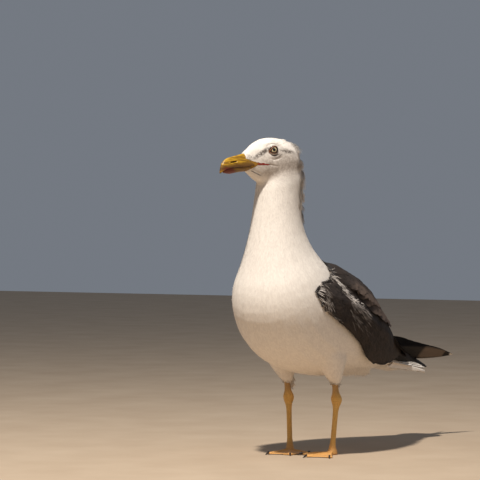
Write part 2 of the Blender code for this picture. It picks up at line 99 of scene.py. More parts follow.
# %% [markdown]
# ## Where things are
# A gull turns its head on a body that stays put, so two sets of directions are
# used. Body places are (left, forward, height) from the ground under the ankles.
# Head places are (left, forward, up) from a point between the eyes, and turn with
# the face. Both are measured from the eyeballs, which the frame already holds.

# %% The body's and the head's own measures
EYE_AHEAD, EYE_ABOVE = 1.0, 1.1       # the eyeballs' centres, from the head's zero point
EYE_FORWARD = 105.0                   # how far the eyes stand in front of the ankles
eye_at = {side: sum(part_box("eye_" + side), Vector()) / 2 for side in "lr"}
EYE_RADIUS = (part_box("eye_l")[1].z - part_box("eye_l")[0].z) / 2 / MM
LEFT = (eye_at["l"] - eye_at["r"]).normalized()
FACE = Vector((LEFT.y, -LEFT.x, 0))
HEAD = (eye_at["l"] + eye_at["r"]) / 2 - (FACE * EYE_AHEAD + UP * EYE_ABOVE) * MM
HEAD_TURN = math.atan2(LEFT.y, LEFT.x)
ANKLES_Y = HEAD.y + EYE_FORWARD * MM
EYE_OUT = (eye_at["l"] - eye_at["r"]).length / 2 / MM


def head_point(left, forward, up):
    """A point of the head, from millimetres."""
    return HEAD + (LEFT * left + FACE * forward + UP * up) * MM


def place(left, forward, height):
    """A point of the body, from millimetres."""
    return Vector((left * MM, ANKLES_Y - forward * MM, height * MM))


def in_head(points):
    """Rows of points as (left, forward, up) in the head's millimetres."""
    axes = np.array([LEFT, FACE, UP]).T
    return (points - np.array(HEAD)) @ axes / MM


def in_body(points):
    """Rows of points as (left, forward, height) in the body's millimetres."""
    out = points / MM
    return np.stack([out[:, 0], ANKLES_Y / MM - out[:, 1], out[:, 2]], 1)


print("eyes", round(2 * EYE_OUT, 1), "mm apart, head turned", round(math.degrees(HEAD_TURN), 1))

# %% [markdown]
# ## Small tools
# Everything below is mesh work, so a few short helpers copy the frame's solids,
# read and write a mesh's corners as one array, and turn modifiers into a plain
# mesh. Masks that fade smoothly from 0 to 1 are used again and again. The feathers
# that are placed by chance all draw from one generator with a fixed seed, so every
# run gives the same bird.

# %% Masks and the generator
SEED = 7
rng = np.random.default_rng(SEED)


def smooth_step(edge0, edge1, value):
    """0 up to edge0, 1 past edge1, and an S-curve between; edges may run downwards.
    It takes a number or an array, as bell does."""
    t = np.clip((value - edge0) / (edge1 - edge0), 0.0, 1.0)
    return t * t * (3 - 2 * t)


def bell(value, middle, width):
    """1 at the middle, fading to about a third at one width away."""
    return np.exp(-(((value - middle) / width) ** 2))


def line_at(table, at):
    """The value at a place, read between the rows of a (place, value) table."""
    table = np.array(sorted(table))
    return np.interp(at, table[:, 0], table[:, 1])


print("a bell at its own width:", round(bell(1, 0, 1), 2))


# %% Making and reading objects
def new_object(name, content):
    """An object with a mesh, lamp or camera in it, in the scene."""
    made = bpy.data.objects.new(name, content)
    bpy.context.scene.collection.objects.link(made)
    return made


def object_of(name, bm):
    """An object with the faces of bm, which is used up."""
    mesh = bpy.data.meshes.new(name)
    bm.to_mesh(mesh)
    bm.free()
    return new_object(name, mesh)


@contextmanager
def edited(obj):
    """The object's mesh for editing by bmesh, written back at the block's end."""
    bm = bmesh.new()
    bm.from_mesh(obj.data)
    yield bm
    bm.to_mesh(obj.data)
    bm.free()


def face_outwards(obj):
    """Turns every face of a closed mesh outwards."""
    with edited(obj) as bm:
        bmesh.ops.recalc_face_normals(bm, faces=bm.faces)


def shade_smooth(obj):
    for face in obj.data.polygons:
        face.use_smooth = True


def finish_with(obj, finish):
    """Gives the object one material in place of any it has."""
    obj.data.materials.clear()
    obj.data.materials.append(finish)


def corners(mesh):
    """The mesh's corners as rows of x, y and z, in metres."""
    flat = np.empty(len(mesh.vertices) * 3, np.float32)
    mesh.vertices.foreach_get("co", flat)
    return flat.reshape(-1, 3).astype(float)


def set_corners(mesh, points):
    mesh.vertices.foreach_set("co", points.astype(np.float32).ravel())
    mesh.update()


def normals(mesh):
    flat = np.empty(len(mesh.vertices) * 3, np.float32)
    mesh.vertex_normals.foreach_get("vector", flat)
    return flat.reshape(-1, 3).astype(float)


def object_from(name, points, faces):
    """An object from corners and faces."""
    mesh = bpy.data.meshes.new(name)
    mesh.from_pydata([tuple(p) for p in points], [], faces)
    mesh.update()
    return new_object(name, mesh)


def joined_copy(name, nodes):
    """One object with welded copies of some of the frame's solids."""
    bm = bmesh.new()
    for node in nodes:
        bm.from_mesh(frame["nodes"][node].data)
    bmesh.ops.remove_doubles(bm, verts=bm.verts, dist=0.01 * MM)
    return object_of(name, bm)


print("helpers for objects ready")


# %% Helpers that change a mesh
def baked(obj):
    """Replaces the object's mesh by what its modifiers make of it."""
    graph = bpy.context.evaluated_depsgraph_get()
    mesh = bpy.data.meshes.new_from_object(obj.evaluated_get(graph))
    obj.modifiers.clear()
    obj.data = mesh
    return obj


def remeshed(obj, voxel, rounds):
    """An even skin over everything in obj, eased by some rounds of smoothing."""
    remesh = obj.modifiers.new("remesh", "REMESH")
    remesh.mode = "VOXEL"
    remesh.voxel_size = voxel * MM
    ease = obj.modifiers.new("ease", "SMOOTH")
    ease.factor = 0.5
    ease.iterations = rounds
    return baked(obj)


def set_attribute(mesh, name, values, kind="FLOAT", domain="POINT"):
    """Stores one value for each corner or face under a name that nodes can read."""
    made = mesh.attributes.get(name) or mesh.attributes.new(name, kind, domain)
    made.data.foreach_set("vector" if kind == "FLOAT_VECTOR" else "value",
                          np.asarray(values).ravel())


def tree_of(obj):
    """A tree for finding the nearest point or a ray's hit on obj's surface."""
    mesh = obj.data
    mesh.calc_loop_triangles()
    faces = [tuple(t.vertices) for t in mesh.loop_triangles]
    return BVHTree.FromPolygons([v.co.copy() for v in mesh.vertices], faces)


# %% [markdown]
# ## The skin
# Under its feathers a bird is one unbroken skin. The solids of head, neck, trunk
# and thighs are parted by thin gaps, so copies of them are joined and remeshed
# with voxels, which closes every gap. The bill and eyes go in as well, so that no
# hollow is left round them. The skin then sinks by the depth of the coat, least on
# the face and most on neck and breast.

# %% One skin over head, neck, trunk and thighs
SKIN_VOXEL = 2.1
FLESH = ("head", "neck", "trunk", "thigh_l", "thigh_r")
skin = joined_copy("skin", FLESH + ("bill_upper", "bill_lower", "eye_l", "eye_r"))
remeshed(skin, SKIN_VOXEL, 6)
print("skin:", len(skin.data.polygons), "faces")


# %% [markdown]
# The face needs folds finer than a voxel, so the skin's faces round the eyes and
# the corner of the mouth are cut smaller before anything is shaped there.

# %% Finer faces on the face
FACE_FINE = 40.0          # the skin is cut finer within this distance of the lore,
LIDS_FINE = (21, 13)      # and twice more within these distances of each eye
LORE = head_point(0, 14, -8)


def refine(obj, centre, radius):
    """Cuts the faces near a point into four."""
    with edited(obj) as bm:
        near = [
            e for e in bm.edges
            if ((e.verts[0].co + e.verts[1].co) / 2 - centre).length < radius * MM
        ]
        bmesh.ops.subdivide_edges(bm, edges=near, cuts=1, use_grid_fill=True)


for side in "lr":
    refine(skin, eye_at[side], LIDS_FINE[0])
refine(skin, LORE, FACE_FINE)
for side in "lr":
    refine(skin, eye_at[side], LIDS_FINE[1])
print("skin with a fine face:", len(skin.data.polygons), "faces")

# %% [markdown]
# ## How deep the coat is, and sinking the skin
# Each mask below answers one question about a point of the skin: is it on the
# head, on the face, on the bill's root, on a thigh. The depth of the coat follows
# from them, and every corner moves inwards by it. Moving corners by numbers is
# exact, where sculpting by hand would differ on each try.

# %% Depth of the coat
MOUTH = ((6, -18.9), (14, -19.0), (24, -19.9), (35, -21.2), (46, -22.6), (57, -23.5),
         (67, -24.7), (80, -30))              # (forward, up) where the bill's halves meet
STRIP_TOP = ((6, -18.6), (12, -17.7), (18, -16.8), (25, -15.7), (32, -14), (40, -12), (41, 9))
CHIN_EDGE = ((24, -19.9), (30, -24), (36, -27), (40, -31))


def bareness(points):
    """1 where the bill's horn shows, 0 where feathers grow; in head places."""
    _, ahead, up = in_head(points).T
    mouth = line_at(MOUTH, ahead)
    upper = smooth_step(0.6, -0.6, up - line_at(STRIP_TOP, ahead)) * (up > mouth)
    lower = smooth_step(-0.6, 0.6, up - line_at(CHIN_EDGE, ahead)) * (up <= mouth)
    beyond = smooth_step(40.0, 41.6, ahead)
    return np.maximum(np.maximum(upper, lower) * smooth_step(6, 8, ahead), beyond)


points = corners(skin.data)
_, head_f, head_u = in_head(points).T
_, body_f, body_h = in_body(points).T
on_head = smooth_step(-62, -40, head_f) * smooth_step(-60, -44, head_u)
on_face = on_head * smooth_step(-14, 12, head_f)
on_thigh = smooth_step(122, 103, body_h)
on_thigh *= smooth_step(60, 20, body_f) * smooth_step(-40, -20, body_f)
bare = bareness(points)
depth = 1.3 - 0.3 * on_head - 0.4 * on_face
wedge = smooth_step(30, 38, head_f) * smooth_step(-16, -11, head_u)
depth -= 0.9 * wedge
depth = depth * (1 - bare) + bare * (0.3 + 2.3 * smooth_step(32, 40, head_f))
depth -= 0.9 * on_thigh
outward = normals(skin.data)
points = points - outward * depth[:, None] * MM
set_corners(skin.data, points)
print("coat from", round(depth.min(), 2), "to", round(depth.max(), 2), "mm deep")

# %% [markdown]
# ## Eyelids, brow and folds
# A gull's eye sits in a shallow socket under a pale brow, closely ringed by its
# lids. The skin inside the opening drops behind the eyeball, the rim rises just
# over it, and from there the surface eases back to the cheek. Folds are long
# shallow dents with a soft lip.

# %% Shaping the face
OPEN_MIDDLE = 0.5         # the opening's middle, in front of the eyeball's centre
OPEN_HALF = (6.3, 4.5)    # half the opening, along and across
OPEN_DROOP = 2.2          # how far its front corner hangs below its middle
LID_RISE = 0.5            # the lids' rim over the eyeball
LID_SINK = 1.3            # the skin behind the eyeball's surface, inside the opening


def opening(along, across):
    """0 in the middle of the eye's opening, 1 on its edge, more outside."""
    ahead = (along - OPEN_MIDDLE) / OPEN_HALF[0]
    level = across + OPEN_DROOP * np.clip(ahead, 0, 1.3) ** 3
    return np.hypot(ahead, level / OPEN_HALF[1])


def dent(points, path, width, sink):
    """Sinks the skin along a line of head places, less and less towards its ends."""
    places = in_head(points)
    lengths = [math.dist(a, b) for a, b in zip(path, path[1:])]
    nearest = np.full(len(points), 1e9)
    along = np.zeros(len(points))
    passed = 0.0
    for start, end, length in zip(path, path[1:], lengths):
        step = (np.array(end) - start) / length
        away = places[:, 1:] - start
        at = np.clip(away @ step, 0, length)
        gap = np.linalg.norm(away - at[:, None] * step, axis=1)
        along = np.where(gap < nearest, (passed + at) / sum(lengths), along)
        nearest = np.minimum(nearest, gap)
        passed += length
    fade = np.sin(np.pi * (0.04 + 0.92 * along)) ** 0.7
    amount = sink * fade * bell(nearest, 0, width) * smooth_step(6, 11, np.abs(places[:, 0]))
    return points - side_of(points) * amount[:, None] * MM


def side_of(points):
    """The way out of the head's nearer side, for each point."""
    sign = np.sign(in_head(points)[:, 0])
    return sign[:, None] * np.array(LEFT)


DENTS = (                 # lines in (forward, up), their width and depth; below 0 is a swelling
    (((16, -4), (8, -2), (0, -1)), 7.5, 1.5),                               # the socket
    (((27, -6), (18, -4)), 5.0, 0.8),                                       # hollow of the lore
    (((15, 8.5), (7, 11), (-3, 11.5), (-11, 9.0)), 2.4, -1.5),              # brow
    (((11, 1.5), (8, 6.6), (2, 8.8), (-5, 8.2), (-9.6, 4)), 0.9, 0.8),      # fold over the lids
    (((7.5, -5.2), (4.5, -6.9), (0, -7.0), (-5.0, -5.0)), 0.9, 0.7),        # fold under the lids
    (((6.6, -10.6), (2.4, -12.4), (-2.4, -11.6), (-9.4, -8.6)), 1.1, 0.9),  # bag under the eye
    (((-9.5, -1), (-15, -1.5), (-27, -4)), 2.0, 0.6),                       # behind the eye
    (((14, -17.6), (7, -19.2), (0, -20.4), (-4, -21.0)), 1.0, 0.8),         # end of the mouth
    (((30, -25.6), (24, -29), (17, -32.2)), 1.1, 0.8),                      # edge of the chin
)
for path, width, sink in DENTS:
    points = dent(points, path, width, sink)
for side, sign in SIDES:
    away = points - np.array(eye_at[side])
    near_side = away @ (np.array(LEFT) * sign) > -2 * MM
    along = away @ np.array(FACE) / MM
    across = away @ np.array(UP) / MM
    reach = np.linalg.norm(away, axis=1) / MM
    ring = opening(along, across)
    to_rim = smooth_step(0.94, 1.06, ring)
    wanted = (EYE_RADIUS - LID_SINK) * (1 - to_rim) + (EYE_RADIUS + LID_RISE) * to_rim
    hold = smooth_step(1.75, 1.12, ring) * near_side
    moved = reach * (1 - hold) + wanted * hold
    points = np.array(eye_at[side]) + away * (moved / np.maximum(reach, 0.1))[:, None]
set_corners(skin.data, points)
print("folds pressed in on each side:", len(DENTS))


# %% [markdown]
# ## The lie of the coat
# Feathers lie back from the bill over the head, run down the neck, and turn
# towards the tail on the trunk. A line through the middle of the bird gives that
# course: each point of the skin follows the line's direction nearest to it, laid
# flat on the skin. On the head they run away from the bill instead, and on the
# thighs straight down.

# %% Which way feathers lie
COURSE = (                # the bird's middle line, (forward, height), from nape to tail
    (74, 405), (79, 383), (83, 357), (86, 330), (86, 302), (84, 275), (78, 250), (66, 229),
    (46, 204), (18, 186), (-18, 174), (-61, 162), (-106, 151), (-144, 141), (-178, 128),
    (-270, 106),
)
BILL_ROOT = head_point(0, 44, -12)


def flat_on(directions, outward):
    """Directions with what points out of the skin taken away, at length 1."""
    flat = directions - outward * np.sum(directions * outward, 1)[:, None]
    return flat / np.maximum(np.linalg.norm(flat, axis=1), 1e-9)[:, None]


def lie_of(points, outward):
    """The way a feather lies at each point, flat on the skin."""
    line = np.array([place(0, f, h) for f, h in COURSE])
    heading = np.gradient(line, axis=0)
    heading /= np.linalg.norm(heading, axis=1)[:, None]
    gap = np.linalg.norm(points[:, None, :] - line[None], axis=2) / MM
    share = np.exp(-((gap - gap.min(1, keepdims=True)) / 14.0))
    lie = (share / share.sum(1, keepdims=True)) @ heading
    away = points - np.array(BILL_ROOT)
    away /= np.linalg.norm(away, axis=1)[:, None]
    _, ahead, up = in_head(points).T
    of_head = smooth_step(-52, -22, ahead) * smooth_step(-66, -38, up)
    of_head = np.maximum(of_head, smooth_step(10, 22, ahead) * smooth_step(-90, -70, up))
    lie = lie * (1 - of_head[:, None]) + away * of_head[:, None]
    side, ahead, height = in_body(points).T
    on_thigh = smooth_step(140, 112, height)
    on_thigh *= smooth_step(48, 28, ahead) * smooth_step(-44, -24, ahead)
    on_thigh *= smooth_step(14, 26, np.abs(side))
    down = np.array([0.0, 0.12, -1.0])
    lie = lie * (1 - on_thigh[:, None]) + down * on_thigh[:, None]
    return flat_on(lie, outward)


points = corners(skin.data)
outward = normals(skin.data)
lie = lie_of(points, outward)
set_attribute(skin.data, "bare", bare)
set_attribute(skin.data, "lie", lie, "FLOAT_VECTOR")
set_attribute(skin.data, "out", outward, "FLOAT_VECTOR")
print("lie set on", len(points), "corners")

# %% [markdown]
# ## Sizes of the feathers
# A gull's feathers are smallest round the bill and eyes, grow over the crown and
# neck, and are largest on the breast and flanks. Each corner of the skin carries
# the length, width and lift of a feather that would grow there, so a feather reads
# its size from the spot where it stands. The nape is ruffled, and so are the
# edges of the thighs.

# %% Feather sizes on the skin
def sizes_on(points, depth):
    """Length, width, tip height (mm), wildness and looseness of feathers at each point."""
    _, ahead, up = in_head(points).T
    _, forward, height = in_body(points).T
    to_eye = np.min([np.linalg.norm(points - np.array(eye_at[s]), axis=1) for s in "lr"], 0) / MM
    face = smooth_step(2, 22, ahead) * smooth_step(-70, -50, up)
    lids = smooth_step(15, 9, to_eye)
    length = 5.6 + 2.4 * smooth_step(400, 310, height) + 3.2 * smooth_step(300, 230, height)
    length = length * (1 - face) + 4.2 * face
    length = length * (1 - lids) + 2.3 * lids
    nape = smooth_step(-14, -34, ahead) * smooth_step(26, 6, up) * smooth_step(-112, -66, up)
    nape *= smooth_step(80, 66, forward)
    tuft = bell(ahead, -25, 7) * smooth_step(8, 14, up)
    low = smooth_step(130, 104, height)       # the thighs' lower edges
    low *= smooth_step(60, 30, forward) * smooth_step(-60, -30, forward)
    clump = np.array([noise.noise(Vector(p) * 95) for p in points])
    nape *= smooth_step(-0.05, 0.30, clump)
    tuft *= smooth_step(-0.25, 0.2, clump)
    width = np.clip(length * 0.24, 1.0, 2.6) * (1 - 0.25 * nape)
    length = length * (1 + 0.9 * nape + 0.5 * tuft + 0.5 * low)
    rise = np.clip(0.5 * depth, 0.30, 0.62) + 5.0 * nape + 2.4 * tuft + 0.9 * low
    ruffled = np.clip(nape + tuft + 0.35 * low, 0, 1)
    return length, width, rise, 0.07 + 0.36 * ruffled, 0.6 * ruffled


points = corners(skin.data)
length, width, rise, wild, free = sizes_on(points, depth)
for name, values in (("long", length * MM), ("wide", width * MM), ("rise", rise * MM),
                     ("wild", wild), ("free", free)):
    set_attribute(skin.data, name, values)
print("feathers from", round(length.min(), 1), "to", round(length.max(), 1), "mm long")

# %% [markdown]
# ## The form the feathers lie on
# The folded wings lie over the flanks, and feathers of the breast lap over the
# wing's front edge. Feathers therefore follow one joined form of skin and wings.
# It is only a guide and never seen.

# %% The guide form
WINGS = ("wing_l", "wing_r", "scapulars_l", "scapulars_r")
FORM_SINK = 1.2           # how far the guide lies inside the wings' solids
SHELL_VOXEL = 1.8
CRUMB = 400               # loose bits with fewer faces are dropped


def drop_crumbs(obj):
    """Removes the loose bits that a remesh can leave."""
    with edited(obj) as bm:
        left = set(bm.verts)
        while left:
            piece, edge = set(), [left.pop()]
            while edge:
                corner = edge.pop()
                piece.add(corner)
                for link in corner.link_edges:
                    other = link.other_vert(corner)
                    if other in left:
                        left.discard(other)
                        edge.append(other)
            if sum(len(corner.link_faces) for corner in piece) / 4 < CRUMB:
                bmesh.ops.delete(bm, geom=list(piece), context="VERTS")


def wing_shell(name, nodes):
    """Copies of wing solids as one even shell, sunk a little."""
    shell = joined_copy(name, nodes)
    remeshed(shell, SHELL_VOXEL, 4)
    drop_crumbs(shell)
    set_corners(shell.data, corners(shell.data) - normals(shell.data) * FORM_SINK * MM)
    return shell


shell = wing_shell("shell", WINGS)
bm = bmesh.new()
bm.from_mesh(skin.data)
bm.from_mesh(shell.data)
form = object_of("form", bm)
set_attribute(form.data, "out", normals(form.data), "FLOAT_VECTOR")
print("form:", len(form.data.polygons), "faces")

# %% [markdown]
# ## Patches of the skin
# The coat is built patch by patch, so that each has its own spacing and stays
# light. Skin that lies well under a wing, inside an eye's opening or under the
# bill's horn grows no feathers. A ray from each face shows whether a wing covers
# it.

# %% Naming the patches
FACE_PATCH, CROWN, NECK, BREAST, FLANK, BACK, THIGHS, CHEST = range(1, 9)
WING_REACH = 25           # a wing within this distance hides the skin
wing_tree = tree_of(shell)
faces = skin.data.polygons
middle = np.array([f.center for f in faces])
facing = np.array([f.normal for f in faces])
_, ahead, up = in_head(middle).T
side, forward, height = in_body(middle).T
patch = np.full(len(faces), NECK)
patch[height < 305] = CHEST
patch[height < 228] = BREAST
patch[(height < 214) & (forward < 62)] = FLANK
patch[(height < 214) & (forward < -40) & (facing[:, 2] > -0.2)] = BACK
patch[(facing[:, 2] > 0.1) & (forward < 30) & (height < 260)] = BACK
patch[(height < 136) & (forward < 48) & (forward > -44) & (np.abs(side) > 9)] = THIGHS
patch[(up > -36) & (ahead > -48)] = CROWN
patch[(up > -40) & (ahead > 2)] = FACE_PATCH


def covered(points, directions, reach):
    """Whether a wing is met within reach mm on the way out from each point."""
    return np.array([
        wing_tree.ray_cast(Vector(p), Vector(d), reach * MM)[0] is not None
        for p, d in zip(points, directions)
    ])


lie_at = lie_of(middle, facing)
hidden = covered(middle, facing, WING_REACH)
hidden &= covered(middle + lie_at * 9 * MM, facing, WING_REACH)      # a feather's length on
for side_name in "lr":
    away = middle - np.array(eye_at[side_name])
    ring = opening(away @ np.array(FACE) / MM, away @ np.array(UP) / MM)
    hidden |= (ring < 1.22) & (np.linalg.norm(away, axis=1) < 12 * MM)
hidden |= bareness(middle) > 0.4
hidden |= (height < 106) & (facing[:, 2] < -0.75)        # the thigh's very end
patch[hidden] = 0
set_attribute(skin.data, "patch", patch, "INT", "FACE")
print("faces in each patch:", np.bincount(patch).tolist())

# %% [markdown]
# ## Unwrapping the skin
# Skin and coat share one unwrap of the skin's own shape, made for baking their
# colours. A feather's own unwrap would be a few specks, so each feather borrows a
# small patch of the skin's map, at its root.

# %% The skin's unwrap
BAKE_MAP = "OFBake"


def unwrap(obj):
    """Unfolds the object's surface into a UV map of its own."""
    if BAKE_MAP not in obj.data.uv_layers:
        obj.data.uv_layers.new(name=BAKE_MAP)
    obj.data.uv_layers.active = obj.data.uv_layers[BAKE_MAP]
    bpy.ops.object.select_all(action="DESELECT")
    obj.select_set(True)
    bpy.context.view_layer.objects.active = obj
    bpy.ops.object.mode_set(mode="EDIT")
    bpy.ops.mesh.select_all(action="SELECT")
    bpy.ops.uv.smart_project(angle_limit=1.15, island_margin=0.004)
    bpy.ops.object.mode_set(mode="OBJECT")


unwrap(skin)
print("skin unwrapped:", len(skin.data.loops), "corners")

# %% [markdown]
# ## Vanes
# A body feather is a thin curved vane, narrow at the root. One vane is a closed
# leaf of a few dozen triangles, one unit long and wide. The white coat gets slim
# leaves whose tips bend to either side, and the wing gets broad rounded ones. Three
# shapes of each are enough, since size and turn differ from feather to feather.

# %% Vane shapes
VANE_THICK = 0.035        # half a vane's thickness in the middle


def vane(name, rows, columns=1):
    """A closed leaf along +Y from (distance along, half width, shift sideways) rows."""
    shares = [2 * c / (columns + 1) - 1 for c in range(columns + 2)]
    loop = [(u, 1 - u * u) for u in shares]       # arched above, flat underneath
    points = [(0, 0, 0)]
    marks = [(0.5, 0, 0)]
    for along, half, shift in rows[:-1]:
        for u, ridge in loop:
            points.append((shift + half * u, along, 0))
            marks.append((0.5 + 0.5 * u, along, ridge * VANE_THICK * MM))
    points.append((rows[-1][2], rows[-1][0], 0))
    marks.append((0.5, 1, 0))
    last = len(points) - 1
    ring = len(loop)
    faces = [(0, 1 + (k + 1) % ring, 1 + k) for k in range(ring)]
    for row in range(len(rows) - 2):
        at = 1 + ring * row
        for k in range(ring):
            after = (k + 1) % ring
            faces.append((at + k, at + after, at + ring + after, at + ring + k))
    faces += [(last - ring + k, last - ring + (k + 1) % ring, last) for k in range(ring)]
    made = object_from(name, points, faces)
    made.data.flip_normals()
    set_attribute(made.data, "vane", np.array(marks), "FLOAT_VECTOR")
    shade_smooth(made)
    with edited(made) as bm:
        for rim in bm.edges:                  # upper and under side don't shade as one
            rim.smooth = rim.calc_face_angle() < 1.5
    return made


def shape_set(name, shapes, columns=1):
    """A collection of vane shapes for the feather tree to choose from."""
    made = bpy.data.collections.new(name)
    for number, rows in enumerate(shapes):
        leaf = vane(name + str(number), rows, columns)
        bpy.context.scene.collection.objects.unlink(leaf)
        made.objects.link(leaf)
    return made


lance_vanes = shape_set("lance_vanes", (
    ((0.25, 0.42, 0.0), (0.58, 0.48, 0.04), (0.86, 0.34, 0.10), (1.0, 0, 0.12)),
    ((0.28, 0.40, 0.06), (0.60, 0.46, 0.0), (0.84, 0.32, -0.16), (0.97, 0, -0.30)),
    ((0.24, 0.42, -0.08), (0.56, 0.46, -0.05), (0.85, 0.30, 0.14), (1.03, 0, 0.34)),
))
broad_vanes = shape_set("broad_vanes", (
    ((0.12, 0.30, 0), (0.35, 0.46, 0), (0.62, 0.50, 0), (0.82, 0.43, 0), (0.95, 0.24, 0),
     (1, 0, 0)),
    ((0.12, 0.28, 0), (0.35, 0.44, 0.02), (0.60, 0.50, 0.03), (0.84, 0.38, 0), (0.94, 0.22, -0.05),
     (1.0, 0, -0.10)),
    ((0.12, 0.30, 0), (0.35, 0.47, -0.02), (0.62, 0.48, -0.02), (0.80, 0.42, 0.02),
     (0.93, 0.26, 0.05), (0.99, 0, 0.10)),
), columns=2)

# %% [markdown]
# ## Colours and surfaces
# Colours follow the bird's own measures: a mask in head places paints the lore's
# grey, one along a vane paints its pale tip. The masks are sums of node values,
# so a small class lets them be written as plain arithmetic.

# %% A small helper for shader arithmetic
class Wire:
    """A value inside a material's node tree that can be added, multiplied and so on."""

    def __init__(self, paint, socket):
        self.paint = paint
        self.socket = socket

    def _math(self, operation, first, second):
        return self.paint.node("ShaderNodeMath", {"operation": operation}, {0: first, 1: second})

    def __add__(self, other):
        return self._math("ADD", self, other)

    def __radd__(self, other):
        return self._math("ADD", other, self)

    def __sub__(self, other):
        return self._math("SUBTRACT", self, other)

    def __rsub__(self, other):
        return self._math("SUBTRACT", other, self)

    def __mul__(self, other):
        return self._math("MULTIPLY", self, other)

    def __rmul__(self, other):
        return self._math("MULTIPLY", other, self)

    def __truediv__(self, other):
        return self._math("DIVIDE", self, other)

    def __rtruediv__(self, other):
        return self._math("DIVIDE", other, self)

    def __pow__(self, other):
        return self._math("POWER", self, other)

    def __neg__(self):
        return self._math("MULTIPLY", self, -1.0)

    def over(self, other):
        """The larger of two values."""
        return self._math("MAXIMUM", self, other)

    def under(self, other):
        """The smaller of two values."""
        return self._math("MINIMUM", self, other)

    def size(self):
        """The value without its sign."""
        return self._math("ABSOLUTE", self, 0.0)

    def wave(self):
        """The sine of the value."""
        return self.paint.node("ShaderNodeMath", {"operation": "SINE"}, {0: self})

    def ramp(self, low, high):
        """0 at low, 1 at high, with a soft S between."""
        return self.paint.node("ShaderNodeMapRange", {"interpolation_type": "SMOOTHSTEP"},
                               {"Value": self, "From Min": low, "From Max": high})


print("arithmetic on sockets ready")


# %% Materials written as arithmetic
class Paint:
    """A material whose look is written as arithmetic on Wires."""

    def __init__(self, name, **constants):
        self.material = bpy.data.materials.new(name)
        self.material.use_nodes = True
        self.tree = self.material.node_tree
        self.surface = self.tree.nodes["Principled BSDF"]
        for socket, value in constants.items():
            self.surface.inputs[socket.replace("_", " ")].default_value = value

    def node(self, kind, settings=None, sockets=None, output=0):
        """Adds a node: its settings first, then values or Wires for its sockets."""
        made = self.tree.nodes.new(kind)
        for name, value in (settings or {}).items():
            setattr(made, name, value)
        for name, value in (sockets or {}).items():
            self.join(made.inputs[name], value)
        return Wire(self, made.outputs[output])

    def join(self, socket, value):
        if isinstance(value, Wire):
            self.tree.links.new(value.socket, socket)
        else:
            socket.default_value = value

    def attribute(self, name, output="Fac"):
        return self.node("ShaderNodeAttribute", {"attribute_name": name}, output=output)

    def axes(self, vector):
        """The three parts of a vector."""
        parts = self.node("ShaderNodeSeparateXYZ", sockets={0: vector})
        return [Wire(self, socket) for socket in parts.socket.node.outputs]

    def vane_place(self):
        """Across and along a vane, from 0 to 1, and a long feather's length in mm."""
        return self.axes(self.attribute("vane", "Vector"))

    def place(self):
        """The object's own coordinates, in metres."""
        return self.node("ShaderNodeTexCoord", output="Object")

    def head_place(self):
        """(left, forward, up) of the head in millimetres."""
        turned = self.node("ShaderNodeMapping", {"vector_type": "TEXTURE"}, {
            "Vector": self.place(), "Location": HEAD, "Rotation": (0, 0, HEAD_TURN),
            "Scale": (MM, MM, MM)})
        left, back, up = self.axes(turned)
        return left, -back, up

    def noise(self, scale, detail=2.0, vector=None, rough=0.5):
        return self.node("ShaderNodeTexNoise", sockets={
            "Vector": vector or self.place(), "Scale": scale, "Detail": detail,
            "Roughness": rough})

    def mix(self, share, first, second):
        """A colour between two colours."""
        return self.node("ShaderNodeMix", {"data_type": "RGBA"},
                         {0: share, 6: first, 7: second}, output=2)

    def vector(self, x, y, z):
        return self.node("ShaderNodeCombineXYZ", sockets={0: x, 1: y, 2: z})

    def spot(self, vector, centre, radii):
        """Distance from a centre, as a share of the radii along each axis."""
        shares = [((part - mid) / radius) for part, mid, radius in zip(vector, centre, radii)]
        total = shares[0] * shares[0] + shares[1] * shares[1] + shares[2] * shares[2]
        return total ** 0.5

    def soft_normal(self, share):
        """The surface's own normal, turned towards that of the body under the coat."""
        own = self.node("ShaderNodeNewGeometry", output="Normal")
        body = self.attribute("soft", "Vector")
        agree = self.node("ShaderNodeVectorMath", {"operation": "DOT_PRODUCT"},
                          {0: own, 1: body}, output=1)
        share = agree.ramp(0.0, 0.25) * share         # undersides keep their own
        both = self.node("ShaderNodeMix", {"data_type": "VECTOR"},
                         {0: share, 4: own, 5: body}, output=1)
        return self.node("ShaderNodeVectorMath", {"operation": "NORMALIZE"}, {0: both})

    def finish(self, base, roughness=None, bump=None, strength=0.3, distance=0.001,
               normal=None):
        """The material, with its colour and, where given, what else changes over it."""
        self.join(self.surface.inputs["Base Color"], base)
        if roughness is not None:
            self.join(self.surface.inputs["Roughness"], roughness)
        if bump is not None:
            sockets = {"Height": bump, "Strength": strength, "Distance": distance}
            if normal is not None:
                sockets["Normal"] = normal
            self.join(self.surface.inputs["Normal"], self.node("ShaderNodeBump", sockets=sockets))
        return self.material


def colour(red, green, blue):
    """A screen colour of 0 to 255 as the linear colour a material wants."""
    parts = []
    for value in (red, green, blue):
        share = value / 255
        parts.append(share / 12.92 if share < 0.04045 else ((share + 0.055) / 1.055) ** 2.4)
    return (*parts, 1.0)


print("helpers for materials ready")

# %% [markdown]
# ## White plumage
# The white feathers are warm white, a little greyer at their hidden bases, with
# fine barbs running off a central shaft. This gull shows a few grey smudges: between
# the bill and the eye, at the bill's root and behind the eye. Painted shade darkens
# the folds round the eye and the edge of the chin. Its cheek is a duller white,
# partly its own dusky tone and partly painted shade, and the nape's raised tips
# stand over dark bases, partly dusky and partly painted shade. Painting by head
# places keeps each mark in its spot, whichever feather grows there.

# %% Marks on the head, and painted shade in its folds
WHITE = colour(238, 230, 220)
# grey of the smudges, also used as painted shade in the folds and along the chin
SMUDGE_AND_CREASE_SHADE = colour(84, 73, 66)
# the cheek's duller white: partly its dusky tone, partly painted shade
DUSK_AND_SHADE = colour(158, 144, 132)


